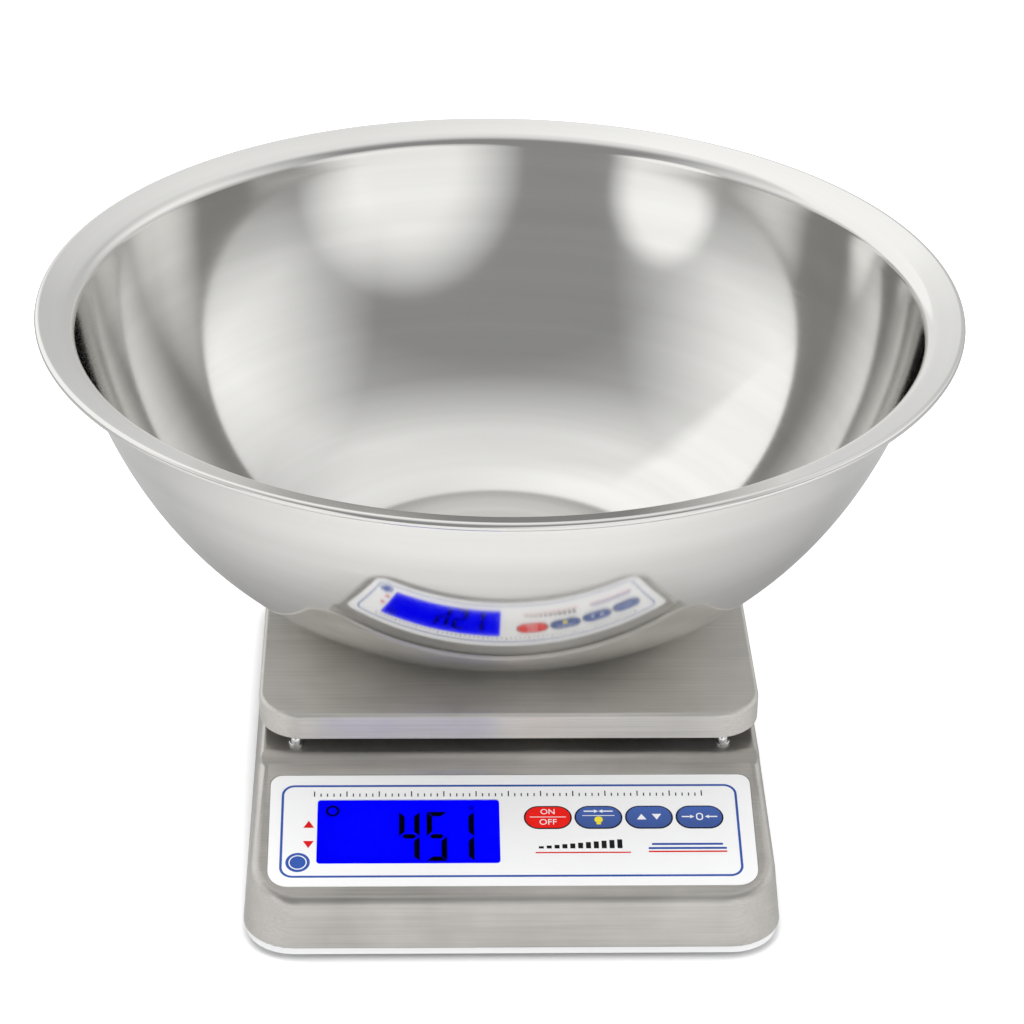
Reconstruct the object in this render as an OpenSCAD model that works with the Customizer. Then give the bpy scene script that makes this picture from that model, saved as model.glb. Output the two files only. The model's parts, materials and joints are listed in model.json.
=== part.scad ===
// Digital weighing scale with a removable bowl: a wash-down portion scale in a stainless housing.
// Millimetres, +Z up. The origin is on the floor under the bowl's axis, and the front faces -Y.

/* [Bowl] */
// Diameter over the rolled rim
bowl_rim_d = 405; // [390:1:416]
// Height from the bowl's flat bottom to the middle of the rolled rim
bowl_h = 139; // [128:1:150]
// Diameter of the flat bottom
bowl_foot_d = 116; // [100:2:124]
// Width of the brim, with its roll
bowl_brim_w = 15.5; // [11:0.5:20]
// Angle at which the brim rises outwards
bowl_brim_rise = 18; // [10:1:24]
// Steepness of the wall just under the brim
bowl_wall_angle = 77.3; // [72:0.1:84]
// How full the curve is near the flat bottom
bowl_low_curve = 56.5; // [46:1:64]
// How full the curve is near the brim
bowl_high_curve = 78; // [66:1:90]
// Diameter of the rolled rim
bowl_bead_d = 3.5; // [2.8:0.1:4.4]
// Thickness of the bowl's sheet
bowl_sheet = 0.9; // [0.7:0.1:1.2]
// How far the bowl stands left of the pan's middle
bowl_offset_x = 3.3; // [0:0.1:6]
// How far the bowl stands behind the pan's middle
bowl_offset_y = 11.5; // [0:0.5:14]

/* [Pan] */
// Width and depth of the square pan
pan_w = 216; // [206:1:222]
// Depth of the pan's folded skirt
skirt_h = 12; // [10:0.5:14]
// Radius of the pan's corners, seen from above
pan_corner_r = 20; // [16:1:24]
// Radius of the roll between the pan's top and its skirt
pan_roll_r = 2; // [2:0.2:4]
// Thickness of the pan's sheet
pan_sheet = 1.5; // [1.2:0.1:1.8]
// Free height between the skirt and the deck
pan_gap = 6; // [5:0.5:8]

/* [Housing] */
// How far the housing reaches beyond the pan at each side
side_reach = 5; // [4:0.5:9]
// How far the housing reaches in front of the pan
front_reach = 77; // [72:1:84]
// How far the housing reaches behind the pan
rear_reach = 5; // [4:0.5:10]
// Height of the deck above the floor
deck_h = 53.7; // [51:0.5:58]
// Height of the front wall's top corner above the floor
front_h = 31; // [29.5:0.5:32.5]
// Height of the deck over the line where the display panel meets its step
step_rise = 3.98; // [3.6:0.02:5]
// Distance from the pan's front edge forward to the step of the deck
step_reach = 8.1; // [7.5:0.1:10]
// Draft of the housing's walls
wall_draft = 7; // [5:0.5:8]
// Radius of the housing's upright corners
body_corner_r = 22; // [18:1:24]
// Radius of the deck step's corners
step_corner_r = 8; // [7:0.5:10]
// Radius of the roll round the display panel
panel_roll_r = 5; // [4:0.5:6]
// Radius of the roll along the deck's front edge
step_roll_r = 10; // [7:0.5:10]
// Radius of the roll along the deck's other edges
deck_roll_r = 3; // [2.5:0.5:3.5]
// Thickness of the housing's sheet
body_sheet = 1.5; // [1.2:0.1:1.8]
// Free diameter of the deck's opening
deck_hole_d = 56; // [52:1:60]
// Height of the collar round the deck's opening
collar_h = 2.5; // [2:0.1:3]

/* [Tray and feet] */
// Height of the tray's underside above the floor
foot_h = 3; // [2.6:0.2:4]
// Height of the tray's visible edge and the seal over it
tray_band = 4; // [3.6:0.2:5]
// Thickness of the tray's floor
tray_floor = 2.5; // [2:0.1:3]
// Inset of the tray's edge from the housing's lower edge
tray_inset = 1; // [0.5:0.1:1.5]
// Thickness of the seal between the tray and the housing
seal_t = 0.6; // [0.4:0.1:1]
// Diameter of a foot
foot_d = 22; // [18:1:24]
// Diameter of a foot's threaded stem
foot_stem_d = 5.9; // [5:0.1:6.5]
// Distance from the housing's side walls to the middle of a foot
foot_inset_x = 22; // [20:1:26]
// Distance from the housing's front and rear walls to the middle of a foot
foot_inset_y = 25; // [22:1:28]

/* [Display and keys] */
// Distance from the housing's side to the panel label
label_inset = 10.9; // [10:0.1:13]
// Distance from the panel's front corner to the label
label_start = 7.6; // [7:0.2:8.4]
// Distance from the label to the foot of the deck's step, along the slope
label_end = 3.6; // [3.2:0.1:5]
// Thickness of the label
label_t = 0.5; // [0.4:0.1:0.6]
// Corner radius at the label's upper edge
label_top_r = 5; // [3:0.5:7]
// Corner radius at the label's lower edge
label_low_r = 8.5; // [6:0.5:10]
// Height of the display window, along the slope
window_d = 34.6; // [30:0.2:36]
// Distance from the label's left end to the display window
window_inset = 20.1; // [17:0.1:24]
// Distance from the display window to the first key
window_key_gap = 10.9; // [9:0.1:14]
// Distance from the panel's front corner to the window's middle
window_v = 37; // [35:0.2:39]
// Length of a key
key_w = 19; // [17:0.2:20]
// Height of a key, along the slope
key_d = 11.3; // [9:0.1:12.5]
// Distance between the middles of two keys
key_pitch = 21.4; // [20.8:0.1:22]
// Distance from the last key to the label's right end
key_inset = 13.2; // [11:0.1:16]
// Distance from the panel's front corner to the middle of the keys
key_v = 44.2; // [42:0.2:46]
// How far a key stands proud of the label
key_rise = 0.35; // [0.2:0.05:0.6]
// Travel of a key
key_travel = 0.4; // [0.3:0.05:0.6]

/* [Weighing parts] */
// Length of the load cell
cell_l = 140; // [130:2:150]
// Width of the load cell
cell_w = 30; // [26:1:32]
// Height of the load cell
cell_h = 22; // [20:1:24]
// Thickness of the spacer under the load cell's fixed end
cell_spacer_t = 4; // [3:0.5:5]
// Thickness of the chassis plate
chassis_t = 3; // [2.5:0.5:3.5]
// Diameter of the load column
column_d = 16; // [14:0.5:17]
// Thickness of the pan support
spider_t = 5; // [4:0.5:6]
// Distance from the pan's sides to the stops
stop_inset_x = 16.2; // [15.6:0.2:20]
// Distance from the pan's front edge to the front stops
stop_inset_front = 6; // [5.6:0.2:9]
// Distance from the pan's rear edge to the rear stops
stop_inset_rear = 12; // [11:0.2:16]
// Diameter of an overload stop
stop_d = 4.6; // [4:0.2:5]
// Height of an overload stop over the deck
stop_h = 4.6; // [4:0.2:5]
// Sinking of the pan support until it meets the stops
stop_gap = 1; // [0.8:0.1:1.4]

/* [Power] */
// Diameter of a battery cell
battery_d = 26; // [24:0.5:26.5]
// Length of a battery cell, without its terminal
battery_l = 48; // [46:0.5:49]
// Diameter of the power inlet's barrel
inlet_d = 12; // [10:0.5:13]
// Diameter of the power inlet's socket
inlet_bore_d = 5.5; // [5:0.1:6.5]
// Distance from the body's left side to the power inlet's middle
inlet_inset_x = 37; // [33:0.5:40]
// Height of the power inlet
inlet_h = 30; // [26:0.5:34]

/* [Clearances] */
// Gap round a key in the label
key_gap = 0.3; // [0.2:0.05:0.5]
// Gap between pieces that don't touch
free_gap = 0.4; // [0.3:0.05:0.6]
// Gap round a turning stem in its bore, on the radius
run_gap = 0.08; // [0.06:0.01:0.1]
// Gap between a seated piece and a drawn wall
seat_gap = 0.05; // [0.02:0.01:0.1]

/* [Hidden] */
steel = [0.72, 0.71, 0.69];
dark_steel = [0.5, 0.5, 0.5];
plastic_white = [0.93, 0.93, 0.92];
rubber_black = [0.1, 0.1, 0.1];
board_green = [0.1, 0.35, 0.2];
label_white = [0.9, 0.9, 0.91];
display_blue = [0, 0, 0.9];
key_red = [0.85, 0.08, 0.05];
key_blue = [0.18, 0.3, 0.6];
brass = [0.75, 0.6, 0.3];
cast_grey = [0.6, 0.61, 0.62];

// Heights
rim_h = foot_h + tray_band;
pan_top_h = deck_h + pan_gap + skirt_h;
pan_under_h = pan_top_h - pan_sheet;
tray_top_h = foot_h + tray_floor;
chassis_top_h = tray_top_h + chassis_t;
cell_low_h = chassis_top_h + cell_spacer_t;
cell_top_h = cell_low_h + cell_h;
deck_under_h = deck_h - body_sheet;
stop_top_h = deck_h + stop_h;
spider_low_h = stop_top_h + stop_gap;
spider_top_h = spider_low_h + spider_t;

// Places in plan, from the pan's middle
body_w = pan_w + 2 * side_reach;
front_y = -pan_w / 2 - front_reach;
rear_y = pan_w / 2 + rear_reach;
step_y = -pan_w / 2 - step_reach;
body_d = rear_y - front_y;
body_mid_y = (rear_y + front_y) / 2;
foot_x = body_w / 2 - foot_inset_x;
inlet_x = body_w / 2 - inlet_inset_x;
foot_front_y = front_y + foot_inset_y;
foot_rear_y = rear_y - foot_inset_y;
stop_x = pan_w / 2 - stop_inset_x;
stop_front_y = pan_w / 2 - stop_inset_front;
stop_rear_y = pan_w / 2 - stop_inset_rear;

// Places on the display panel, along its slope or from its middle
panel_slope = atan((deck_h - step_rise - front_h) / (step_y - front_y));
panel_l = (step_y - front_y) / cos(panel_slope);
label_w = body_w - 2 * label_inset;
label_d = panel_l - label_start - label_end;
key_x = label_w / 2 - key_inset - key_w / 2 - 3 * key_pitch;
window_w = key_x - key_w / 2 - window_key_gap - window_inset + label_w / 2;
window_x = label_w / 2 - window_inset - window_w / 2;

// Bowl curve
bead_r = bowl_bead_d / 2;
bead_mid_r = bowl_rim_d / 2 - bead_r;
brim_run = bowl_brim_w - bead_r;
corner_r = bead_mid_r - brim_run;
brim_lift = bead_r - bowl_sheet - 0.05;
brim_end = [bead_mid_r, bowl_h] + brim_lift * [-sin(bowl_brim_rise), cos(bowl_brim_rise)];
corner_z = brim_end[1] - (brim_end[0] - corner_r) * tan(bowl_brim_rise);
corner_soft = 4;
wall_steps = 26;
corner_steps = 6;

// Weighing parts
live_x = cell_l / 2 - cell_w / 2 - 1;
fixed_x = -live_x;
bolt_pitch = 25;
bolt_r = 2.5;
bolt_head_r = 4;
bolt_head_h = 4;
column_flange_t = 4;
column_flange_r = 16;
hub_bolt_r = 12.2;
pad_h = pan_under_h - spider_top_h;
pad_r = 8;
stud_r = 3;
pad_place = 0.82;
spider_tip_w = 6;
spider_waist = 20;

// Screws that close the housing
standoff_r = 4;
standoff_x = body_w / 2 - 17;
standoff_front_y = -stop_front_y + 13.5;
standoff_rear_y = foot_rear_y - 16;
screw_r = 1.9;
screw_head_r = 3.6;
screw_head_h = 1.6;
screw_reach = 9;

// Display stack, measured down from the panel's surface
recess = label_t + 0.1;
glass_margin = 3;
glass_t = 2.8;
glass_top = recess + 0.1;
backlight_t = 2.6;
board_top = glass_top + glass_t + backlight_t;
board_t = 1.6;
board_margin_x = 8.1;
board_margin_low = 6.4;
board_margin_top = 5.8;
board_w = label_w - 2 * board_margin_x;
board_start = label_start + board_margin_low;
board_d = label_d - board_margin_low - board_margin_top;
switch_h = 3.9;
switch_w = 6;
key_depth = board_top - switch_h - key_travel - 0.05;
board_screw_x = board_w / 2 - 4;

// Battery box
cell_gap = 1;
contact_w = 3;
box_wall = 2;
box_in_w = 2 * battery_l + 2 * contact_w + 8;
box_in_d = 2 * battery_d + 3 * cell_gap;
box_w = box_in_w + 2 * box_wall;
box_d = box_in_d + 2 * box_wall;
box_y = rear_y - 14 - box_d / 2;
box_floor = 2;
door_t = 2;
door_seal_t = tray_floor - door_t;
door_screw_x = box_w / 2 + 5;
door_w = box_w + 20;
box_flange_w = door_w + 8;
box_flange_d = box_d + 6;
battery_mid_h = tray_top_h + 0.6 + battery_d / 2;
box_top_h = battery_mid_h + battery_d / 2 + cell_gap + box_wall;
door_screw_r = 1.6;
door_head_r = 4.5;
door_head_h = 1.4;

// Shared shapes

function arc_points(x, y, r, from, to, steps) =
    [for (i = [0:steps]) let (a = from + (to - from) * i / steps) [x + r * cos(a), y + r * sin(a)]];

// Outline of a plate with its own corner radius at the front and at the rear
function plate_points(w, d, front_r, rear_r) = concat(
    arc_points(w / 2 - front_r, -d / 2 + front_r, front_r, -90, 0, 8),
    arc_points(w / 2 - rear_r, d / 2 - rear_r, rear_r, 0, 90, 8),
    arc_points(-w / 2 + rear_r, d / 2 - rear_r, rear_r, 90, 180, 8),
    arc_points(-w / 2 + front_r, -d / 2 + front_r, front_r, 180, 270, 8));

module plate(w, d, r, h) linear_extrude(h) polygon(plate_points(w, d, r, r));

// A plate with round ends along X
module pill(w, d, h) {
    for (side = [-1, 1])
        translate([side * (w - d) / 2, 0, 0]) cylinder(h = h, d = d, $fn = 48);
    translate([-(w - d) / 2, -d / 2, 0]) cube([w - d, d, h]);
}

module block(w, d, h) translate([-w / 2, -d / 2, 0]) cube([w, d, h]);

module ring(outer_r, inner_r, h, sides = 64) {
    difference() {
        cylinder(h = h, r = outer_r, $fn = sides);
        translate([0, 0, -1]) cylinder(h = h + 2, r = inner_r, $fn = sides);
    }
}

// A screw with its head at the bottom, pointing up
module screw_up(shank_r, length, head_r, head_h) {
    cylinder(h = head_h, r = head_r, $fn = 32);
    translate([0, 0, head_h]) cylinder(h = length, r = shank_r, $fn = 32);
}

// A bolt with its head on top, pointing down from z = 0
module bolt_down(shank_r, length, head_r, head_h) {
    cylinder(h = head_h, r = head_r, $fn = 32);
    translate([0, 0, -length]) cylinder(h = length, r = shank_r, $fn = 32);
}

module at_corners(x, y) {
    for (side_x = [-1, 1], side_y = [-1, 1])
        translate([side_x * x, side_y * y, 0]) children();
}

// The four overload stops, or places on the way out to them
module at_stops(part_way = 1) {
    for (side = [-1, 1], y = [-stop_front_y, stop_rear_y])
        translate([side * stop_x, y, 0] * part_way) children();
}

// Everything but the bowl is drawn round the pan's middle and then set under the bowl
module scale_part(shade) color(shade) translate([bowl_offset_x, -bowl_offset_y, 0]) children();

// On the sloping panel: x to the right, y up the slope from the front corner, z out of the panel
module on_panel() translate([0, front_y, front_h]) rotate([panel_slope, 0, 0]) children();

// Bowl

function bezier(a, b, c, d, t) =
    pow(1 - t, 3) * a + 3 * pow(1 - t, 2) * t * b + 3 * (1 - t) * t * t * c + pow(t, 3) * d;

function bend(a, b, c, t) = pow(1 - t, 2) * a + 2 * (1 - t) * t * b + t * t * c;

wall_dir = [cos(bowl_wall_angle), sin(bowl_wall_angle)];
brim_dir = [cos(bowl_brim_rise), sin(bowl_brim_rise)];
wall_top = [corner_r, corner_z] - corner_soft * wall_dir;
brim_start = [corner_r, corner_z] + corner_soft * brim_dir;
foot_edge = [bowl_foot_d / 2, 0];

bowl_outside = concat(
    [for (i = [0:wall_steps])
        bezier(foot_edge, foot_edge + [bowl_low_curve, 0], wall_top - bowl_high_curve * wall_dir, wall_top,
            i / wall_steps)],
    [for (i = [1:corner_steps]) bend(wall_top, [corner_r, corner_z], brim_start, i / corner_steps)],
    [brim_end]);

function along(points, i) =
    let (a = points[max(i - 1, 0)], b = points[min(i + 1, len(points) - 1)]) (b - a) / norm(b - a);

function inside_of(points, t) =
    [for (i = [len(points) - 1:-1:0]) let (d = along(points, i)) points[i] + t * [-d[1], d[0]]];

module bowl() {
    color(steel) translate([0, 0, pan_top_h]) {
        rotate_extrude($fn = 180)
            polygon(concat([[0, 0]], bowl_outside, inside_of(bowl_outside, bowl_sheet), [[0, bowl_sheet]]));
        translate([0, 0, bowl_h]) rotate_extrude($fn = 180) translate([bead_mid_r, 0])
            circle(bead_r, $fn = 32);
    }
}

// Pan and its support

// Torus whose outer radius is r
module roll_ring(r, tube) rotate_extrude($fn = 40) translate([r - tube, 0]) circle(tube, $fn = 24);

module pan_form(inset, low) {
    reach = pan_w / 2 - pan_corner_r;
    hull() {
        at_corners(reach, reach) {
            translate([0, 0, low]) cylinder(h = 1, r = pan_corner_r - inset, $fn = 40);
            translate([0, 0, pan_top_h - pan_roll_r]) roll_ring(pan_corner_r - inset, pan_roll_r - inset);
        }
    }
}

module platform_pan() {
    scale_part(steel) difference() {
        pan_form(0, pan_top_h - skirt_h);
        pan_form(pan_sheet, pan_top_h - skirt_h - 1);
    }
}

module platform_studs() {
    scale_part(dark_steel) at_stops(pad_place)
        translate([0, 0, pan_under_h - pad_h + 1]) cylinder(h = pad_h - 1, r = stud_r, $fn = 32);
}

module platform_pads() {
    scale_part(rubber_black) at_stops(pad_place)
        translate([0, 0, spider_top_h]) ring(pad_r, stud_r + free_gap, pad_h, 40);
}

// The two corners of the support at a stop
function tip_corners(stop, half_w) =
    let (across = [-stop[1], stop[0]] / norm(stop)) [stop - half_w * across, stop + half_w * across];

// A star with an arm to each stop
function star_points() = concat(
    tip_corners([stop_x, -stop_front_y], spider_tip_w / 2), [[live_x - 4, 0]],
    tip_corners([stop_x, stop_rear_y], spider_tip_w / 2), [[0, spider_waist]],
    tip_corners([-stop_x, stop_rear_y], spider_tip_w / 2), [[-live_x + 4, 0]],
    tip_corners([-stop_x, -stop_front_y], spider_tip_w / 2), [[0, -spider_waist]]);

module spider_rib(x, y) {
    rib_start = 40;
    rib_l = norm([x, y]) * pad_place - pad_r - 4 - rib_start;
    rotate([0, 0, atan2(y, x)]) translate([rib_start, -1.5, spider_t - 0.1]) cube([rib_l, 3, pad_h * 0.6]);
}

module platform_spider() {
    scale_part(cast_grey) translate([0, 0, spider_low_h]) difference() {
        union() {
            linear_extrude(spider_t) polygon(star_points());
            at_stops() cylinder(h = spider_t, r = spider_tip_w / 2 + 0.5, $fn = 32);
            at_stops(pad_place) cylinder(h = spider_t, r = pad_r + 1.5, $fn = 40);
            translate([live_x, 0, 0]) cylinder(h = spider_t, r = column_flange_r + 3, $fn = 48);
            for (side = [-1, 1], y = [-stop_front_y, stop_rear_y]) spider_rib(side * stop_x, y);
        }
        hub_bolts() translate([0, 0, -1]) cylinder(h = spider_t + 2, r = 2.2, $fn = 24);
    }
}

module hub_bolts() {
    translate([live_x, 0, 0])
        for (k = [0:3]) rotate([0, 0, 45 + 90 * k]) translate([hub_bolt_r, 0, 0]) children();
}

module spider_bolts() {
    scale_part(dark_steel) hub_bolts()
        translate([0, 0, spider_top_h]) bolt_down(1.95, spider_t + column_flange_t - 0.5, 3.4, 2.6);
}

// The two bolts along the load cell at one of its ends
module end_bolts(x) {
    translate([x, 0, 0])
        for (side = [-1, 1]) translate([side * bolt_pitch / 2, 0, 0]) children();
}

module load_column() {
    foot_t = 6;
    scale_part(cast_grey) difference() {
        translate([live_x, 0, 0]) {
            translate([0, 0, cell_top_h]) block(cell_w + 8, cell_w - 2, foot_t);
            translate([0, 0, cell_top_h + foot_t - 0.1])
                cylinder(h = spider_low_h - cell_top_h - foot_t + 0.1, d = column_d, $fn = 48);
            translate([0, 0, spider_low_h - column_flange_t])
                cylinder(h = column_flange_t, r = column_flange_r, $fn = 64);
        }
        end_bolts(live_x) translate([0, 0, cell_top_h - 1])
            cylinder(h = foot_t + 2, r = bolt_r + 0.2, $fn = 32);
        hub_bolts() translate([0, 0, spider_low_h - column_flange_t - 1])
            cylinder(h = column_flange_t + 2, r = 2, $fn = 24);
    }
}

module live_end_bolts() {
    scale_part(dark_steel) end_bolts(live_x)
        translate([0, 0, cell_top_h + 6]) bolt_down(bolt_r, 6 + 12, bolt_head_r, bolt_head_h);
}

module load_cell() {
    hole_r = cell_h * 0.33;
    hole_x = 9;
    scale_part([0.78, 0.79, 0.8]) difference() {
        translate([0, 0, cell_low_h]) block(cell_l, cell_w, cell_h);
        for (side = [-1, 1])
            translate([side * hole_x, 0, cell_low_h + cell_h / 2]) rotate([90, 0, 0])
                cylinder(h = cell_w + 2, r = hole_r, center = true, $fn = 48);
        translate([0, 0, cell_low_h + cell_h / 2 - 2]) block(2 * hole_x, cell_w + 2, 4);
        for (x = [fixed_x, live_x])
            end_bolts(x) translate([0, 0, cell_low_h - 1])
                cylinder(h = cell_h + 2, r = bolt_r + 0.1, $fn = 32);
    }
}

module load_cell_spacer() {
    scale_part(dark_steel) difference() {
        translate([fixed_x - 1, 0, chassis_top_h]) block(cell_w + 6, cell_w, cell_spacer_t);
        end_bolts(fixed_x) translate([0, 0, chassis_top_h - 1])
            cylinder(h = cell_spacer_t + 2, r = bolt_r + 0.1, $fn = 32);
    }
}

module fixed_end_bolts() {
    scale_part(dark_steel) end_bolts(fixed_x) translate([0, 0, cell_top_h])
        bolt_down(bolt_r, cell_h + cell_spacer_t + chassis_t, bolt_head_r, bolt_head_h);
}

// Rubber ring between the collar of the deck and the edge of the column's flange
module column_boot() {
    lip_low = spider_low_h - column_flange_t + 0.4;
    collar_r = deck_hole_d / 2 + body_sheet;
    collar_top = deck_h + collar_h;
    profile = [[column_flange_r, lip_low], [column_flange_r + 3, lip_low],
        [column_flange_r + 6, collar_top + 0.2], [collar_r, collar_top + 0.2],
        [collar_r, deck_h + 0.4], [collar_r + 1.4, deck_h + 0.4],
        [collar_r + 1.4, collar_top + 1.4], [column_flange_r + 5, collar_top + 1.4],
        [column_flange_r + 2.4, lip_low + 1.2], [column_flange_r, lip_low + 1.2]];
    scale_part(rubber_black) translate([live_x, 0, 0]) rotate_extrude($fn = 72) polygon(profile);
}

module stop_screws() {
    dome = 1.4;
    scale_part(steel) at_stops() translate([0, 0, deck_h]) {
        cylinder(h = 1, r = stop_d / 2 + 0.9, $fn = 32);
        rotate_extrude($fn = 40) polygon(concat([[0, -8], [2, -8], [2, 0.5], [stop_d / 2, 0.5],
            [stop_d / 2, stop_h - dome]],
            [for (k = [1:6]) [stop_d / 2 * cos(15 * k), stop_h - dome + dome * sin(15 * k)]]));
    }
}

module stop_nuts() {
    scale_part(dark_steel) at_stops() translate([0, 0, deck_under_h - 3]) difference() {
        cylinder(h = 3, r = 3.9, $fn = 6);
        translate([0, 0, -1]) cylinder(h = 5, r = 2, $fn = 32);
    }
}

// Housing

// How far the walls have leaned in at height z
function lean(z) = (z - rim_h) * tan(wall_draft);

// Height at which the panel's roll has its middle, at y
function panel_roll_h(y) = front_h + (y - front_y) * tan(panel_slope) - panel_roll_r / cos(panel_slope);

// The front corners' rings lie parallel to the panel, and spheres end it inside the deck's part
panel_ring_y = front_y + panel_roll_r + (body_corner_r - panel_roll_r) * cos(panel_slope);
panel_end_y = step_y + step_corner_r;
deck_ring_h = deck_h - deck_roll_r;

module thin_disc(r) cylinder(h = 0.01, r = r, $fn = 40);

// The part of the housing under the display panel
module panel_form(inset, low) {
    ring_x = body_w / 2 - body_corner_r;
    end_x = body_w / 2 - panel_roll_r;
    ring_h = panel_roll_h(panel_ring_y);
    end_h = panel_roll_h(panel_end_y);
    hull() for (side = [-1, 1]) {
        translate([side * (ring_x - lean(low)), front_y + body_corner_r, low])
            thin_disc(body_corner_r - inset);
        translate([side * (end_x - lean(low)), panel_end_y, low]) thin_disc(panel_roll_r - inset);
        translate([side * (ring_x - lean(ring_h)), panel_ring_y, ring_h]) rotate([panel_slope, 0, 0])
            roll_ring(body_corner_r - inset, panel_roll_r - inset);
        translate([side * (end_x - lean(end_h)), panel_end_y, end_h]) sphere(panel_roll_r - inset, $fn = 40);
    }
}

// Seen from the side, all that lies behind the step and under the roll of the deck's front edge
module behind_step(inset, low) {
    roll = arc_points(step_y + step_roll_r, deck_h - step_roll_r, step_roll_r - inset, 180, 90, 16);
    rotate([90, 0, 90]) linear_extrude(2 * body_w, center = true)
        polygon(concat([[rear_y, low - 1], [step_y + inset, low - 1]], roll, [[rear_y, deck_h - inset]]));
}

// The part of the housing under the deck
module deck_form(inset, low) {
    intersection() {
        behind_step(inset, low);
        deck_block(inset, low);
    }
}

module deck_block(inset, low) {
    front_x = body_w / 2 - step_corner_r;
    rear_x = body_w / 2 - body_corner_r;
    in_by = lean(deck_ring_h);
    hull() for (side = [-1, 1]) {
        translate([side * (front_x - lean(low)), step_y + step_corner_r, low])
            thin_disc(step_corner_r - inset);
        translate([side * (rear_x - lean(low)), rear_y - body_corner_r - lean(low), low])
            thin_disc(body_corner_r - inset);
        translate([side * (front_x - in_by), step_y + step_corner_r, deck_ring_h])
            roll_ring(step_corner_r - inset, deck_roll_r - inset);
        translate([side * (rear_x - in_by), rear_y - body_corner_r - in_by, deck_ring_h])
            roll_ring(body_corner_r - inset, deck_roll_r - inset);
    }
}

module housing_form(inset, low) {
    panel_form(inset, low);
    deck_form(inset, low);
}

module label_outline(grow, h) {
    linear_extrude(h)
        polygon(plate_points(label_w + 2 * grow, label_d + 2 * grow, label_low_r + grow, label_top_r + grow));
}

module at_keys() {
    for (k = [0:3])
        translate([key_x + k * key_pitch, key_v, 0]) children();
}

module top_housing() {
    scale_part(steel) difference() {
        union() {
            difference() {
                housing_form(0, rim_h);
                housing_form(body_sheet, rim_h - 1);
            }
            translate([live_x, 0, deck_under_h])
                cylinder(h = body_sheet + collar_h, r = deck_hole_d / 2 + body_sheet, $fn = 72);
        }
        translate([live_x, 0, deck_under_h - 1]) cylinder(h = 10, d = deck_hole_d, $fn = 72);
        at_stops() translate([0, 0, deck_under_h - 1]) cylinder(h = 4, r = 2.2, $fn = 24);
        on_panel() {
            translate([0, label_start + label_d / 2, -recess]) label_outline(0.3, 4);
            translate([-window_x, window_v, -6])
                block(window_w + 2 * glass_margin + 1, window_d + 2 * glass_margin + 1, 8);
            at_keys() translate([0, 0, -6]) pill(key_w + 4 * key_gap, key_d + 4 * key_gap, 8);
        }
        on_rear_wall() translate([0, 0, -10]) cylinder(h = 20, d = inlet_d + free_gap, $fn = 48);
    }
}

module at_standoffs() {
    for (side = [-1, 1], y = [standoff_front_y, standoff_rear_y])
        translate([side * standoff_x, y, 0]) children();
}

module housing_standoffs() {
    scale_part(dark_steel) at_standoffs() translate([0, 0, tray_top_h])
        difference() {
            cylinder(h = deck_under_h - tray_top_h, r = standoff_r, $fn = 6);
            translate([0, 0, -1]) cylinder(h = screw_reach + 2, r = screw_r + 0.1, $fn = 24);
        }
}

module housing_screws() {
    scale_part(dark_steel) at_standoffs() translate([0, 0, foot_h])
        screw_up(screw_r, tray_floor - screw_head_h + screw_reach, screw_head_r, screw_head_h);
}

// A plate as large as the housing's lower edge, or smaller all round
module inset_plate(inset, h) plate(body_w - 2 * inset, body_d - 2 * inset, body_corner_r - inset, h);

// A closed band that follows the housing's lower edge
module edge_band(outer_inset, inner_inset, low, high) {
    translate([0, body_mid_y, low]) difference() {
        inset_plate(outer_inset, high - low);
        translate([0, 0, -1]) inset_plate(inner_inset, high - low + 2);
    }
}

module housing_seal() {
    scale_part(rubber_black) edge_band(tray_inset * 0.6, body_sheet + 1.1, rim_h - seal_t, rim_h);
}

// Places on the tray

module at_feet() {
    for (side = [-1, 1], y = [foot_front_y, foot_rear_y])
        translate([side * foot_x, y, 0]) children();
}

insert_r = foot_stem_d / 2 + 2.1;
boss_r = insert_r + 3;
boss_top_h = tray_top_h + 8.5;

chassis_w = 2 * standoff_x - 2 * standoff_r - 8;
chassis_front_reach = 37;
chassis_front_y = -cell_w / 2 - chassis_front_reach;
chassis_rear_y = box_y - box_flange_d / 2 - 2;
chassis_screw_inset = 8;

module at_chassis_screws() {
    for (side = [-1, 1], y = [chassis_front_y + chassis_screw_inset, chassis_rear_y - chassis_screw_inset])
        translate([side * (chassis_w / 2 - chassis_screw_inset), y, 0]) children();
}

module bottom_tray() {
    upstand_t = 2;
    upstand_inset = body_sheet + lean(rim_h + 7) + 2 * free_gap;
    scale_part(plastic_white) difference() {
        union() {
            translate([0, body_mid_y, foot_h]) inset_plate(tray_inset, tray_floor);
            edge_band(tray_inset, upstand_inset + upstand_t, tray_top_h - 0.1, rim_h - seal_t);
            edge_band(upstand_inset, upstand_inset + upstand_t, tray_top_h - 0.1, rim_h + 7);
            at_feet() translate([0, 0, tray_top_h - 0.1])
                cylinder(h = boss_top_h - tray_top_h + 0.1, r = boss_r, $fn = 40);
        }
        at_feet() translate([0, 0, foot_h - 1]) cylinder(h = 30, r = insert_r, $fn = 48);
        translate([0, box_y, foot_h - 1]) plate(door_w + 1, box_d + 1, 4.5, tray_floor + 2);
        at_standoffs() screw_hole();
        at_chassis_screws() screw_hole();
    }
}

// Stepped hole for a screw from below, in the tray's floor
module screw_hole() {
    translate([0, 0, foot_h - 1]) cylinder(h = screw_head_h + 1, r = screw_head_r + 0.3, $fn = 32);
    translate([0, 0, foot_h]) cylinder(h = tray_floor + 1, r = screw_r + 0.2, $fn = 24);
}

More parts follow.
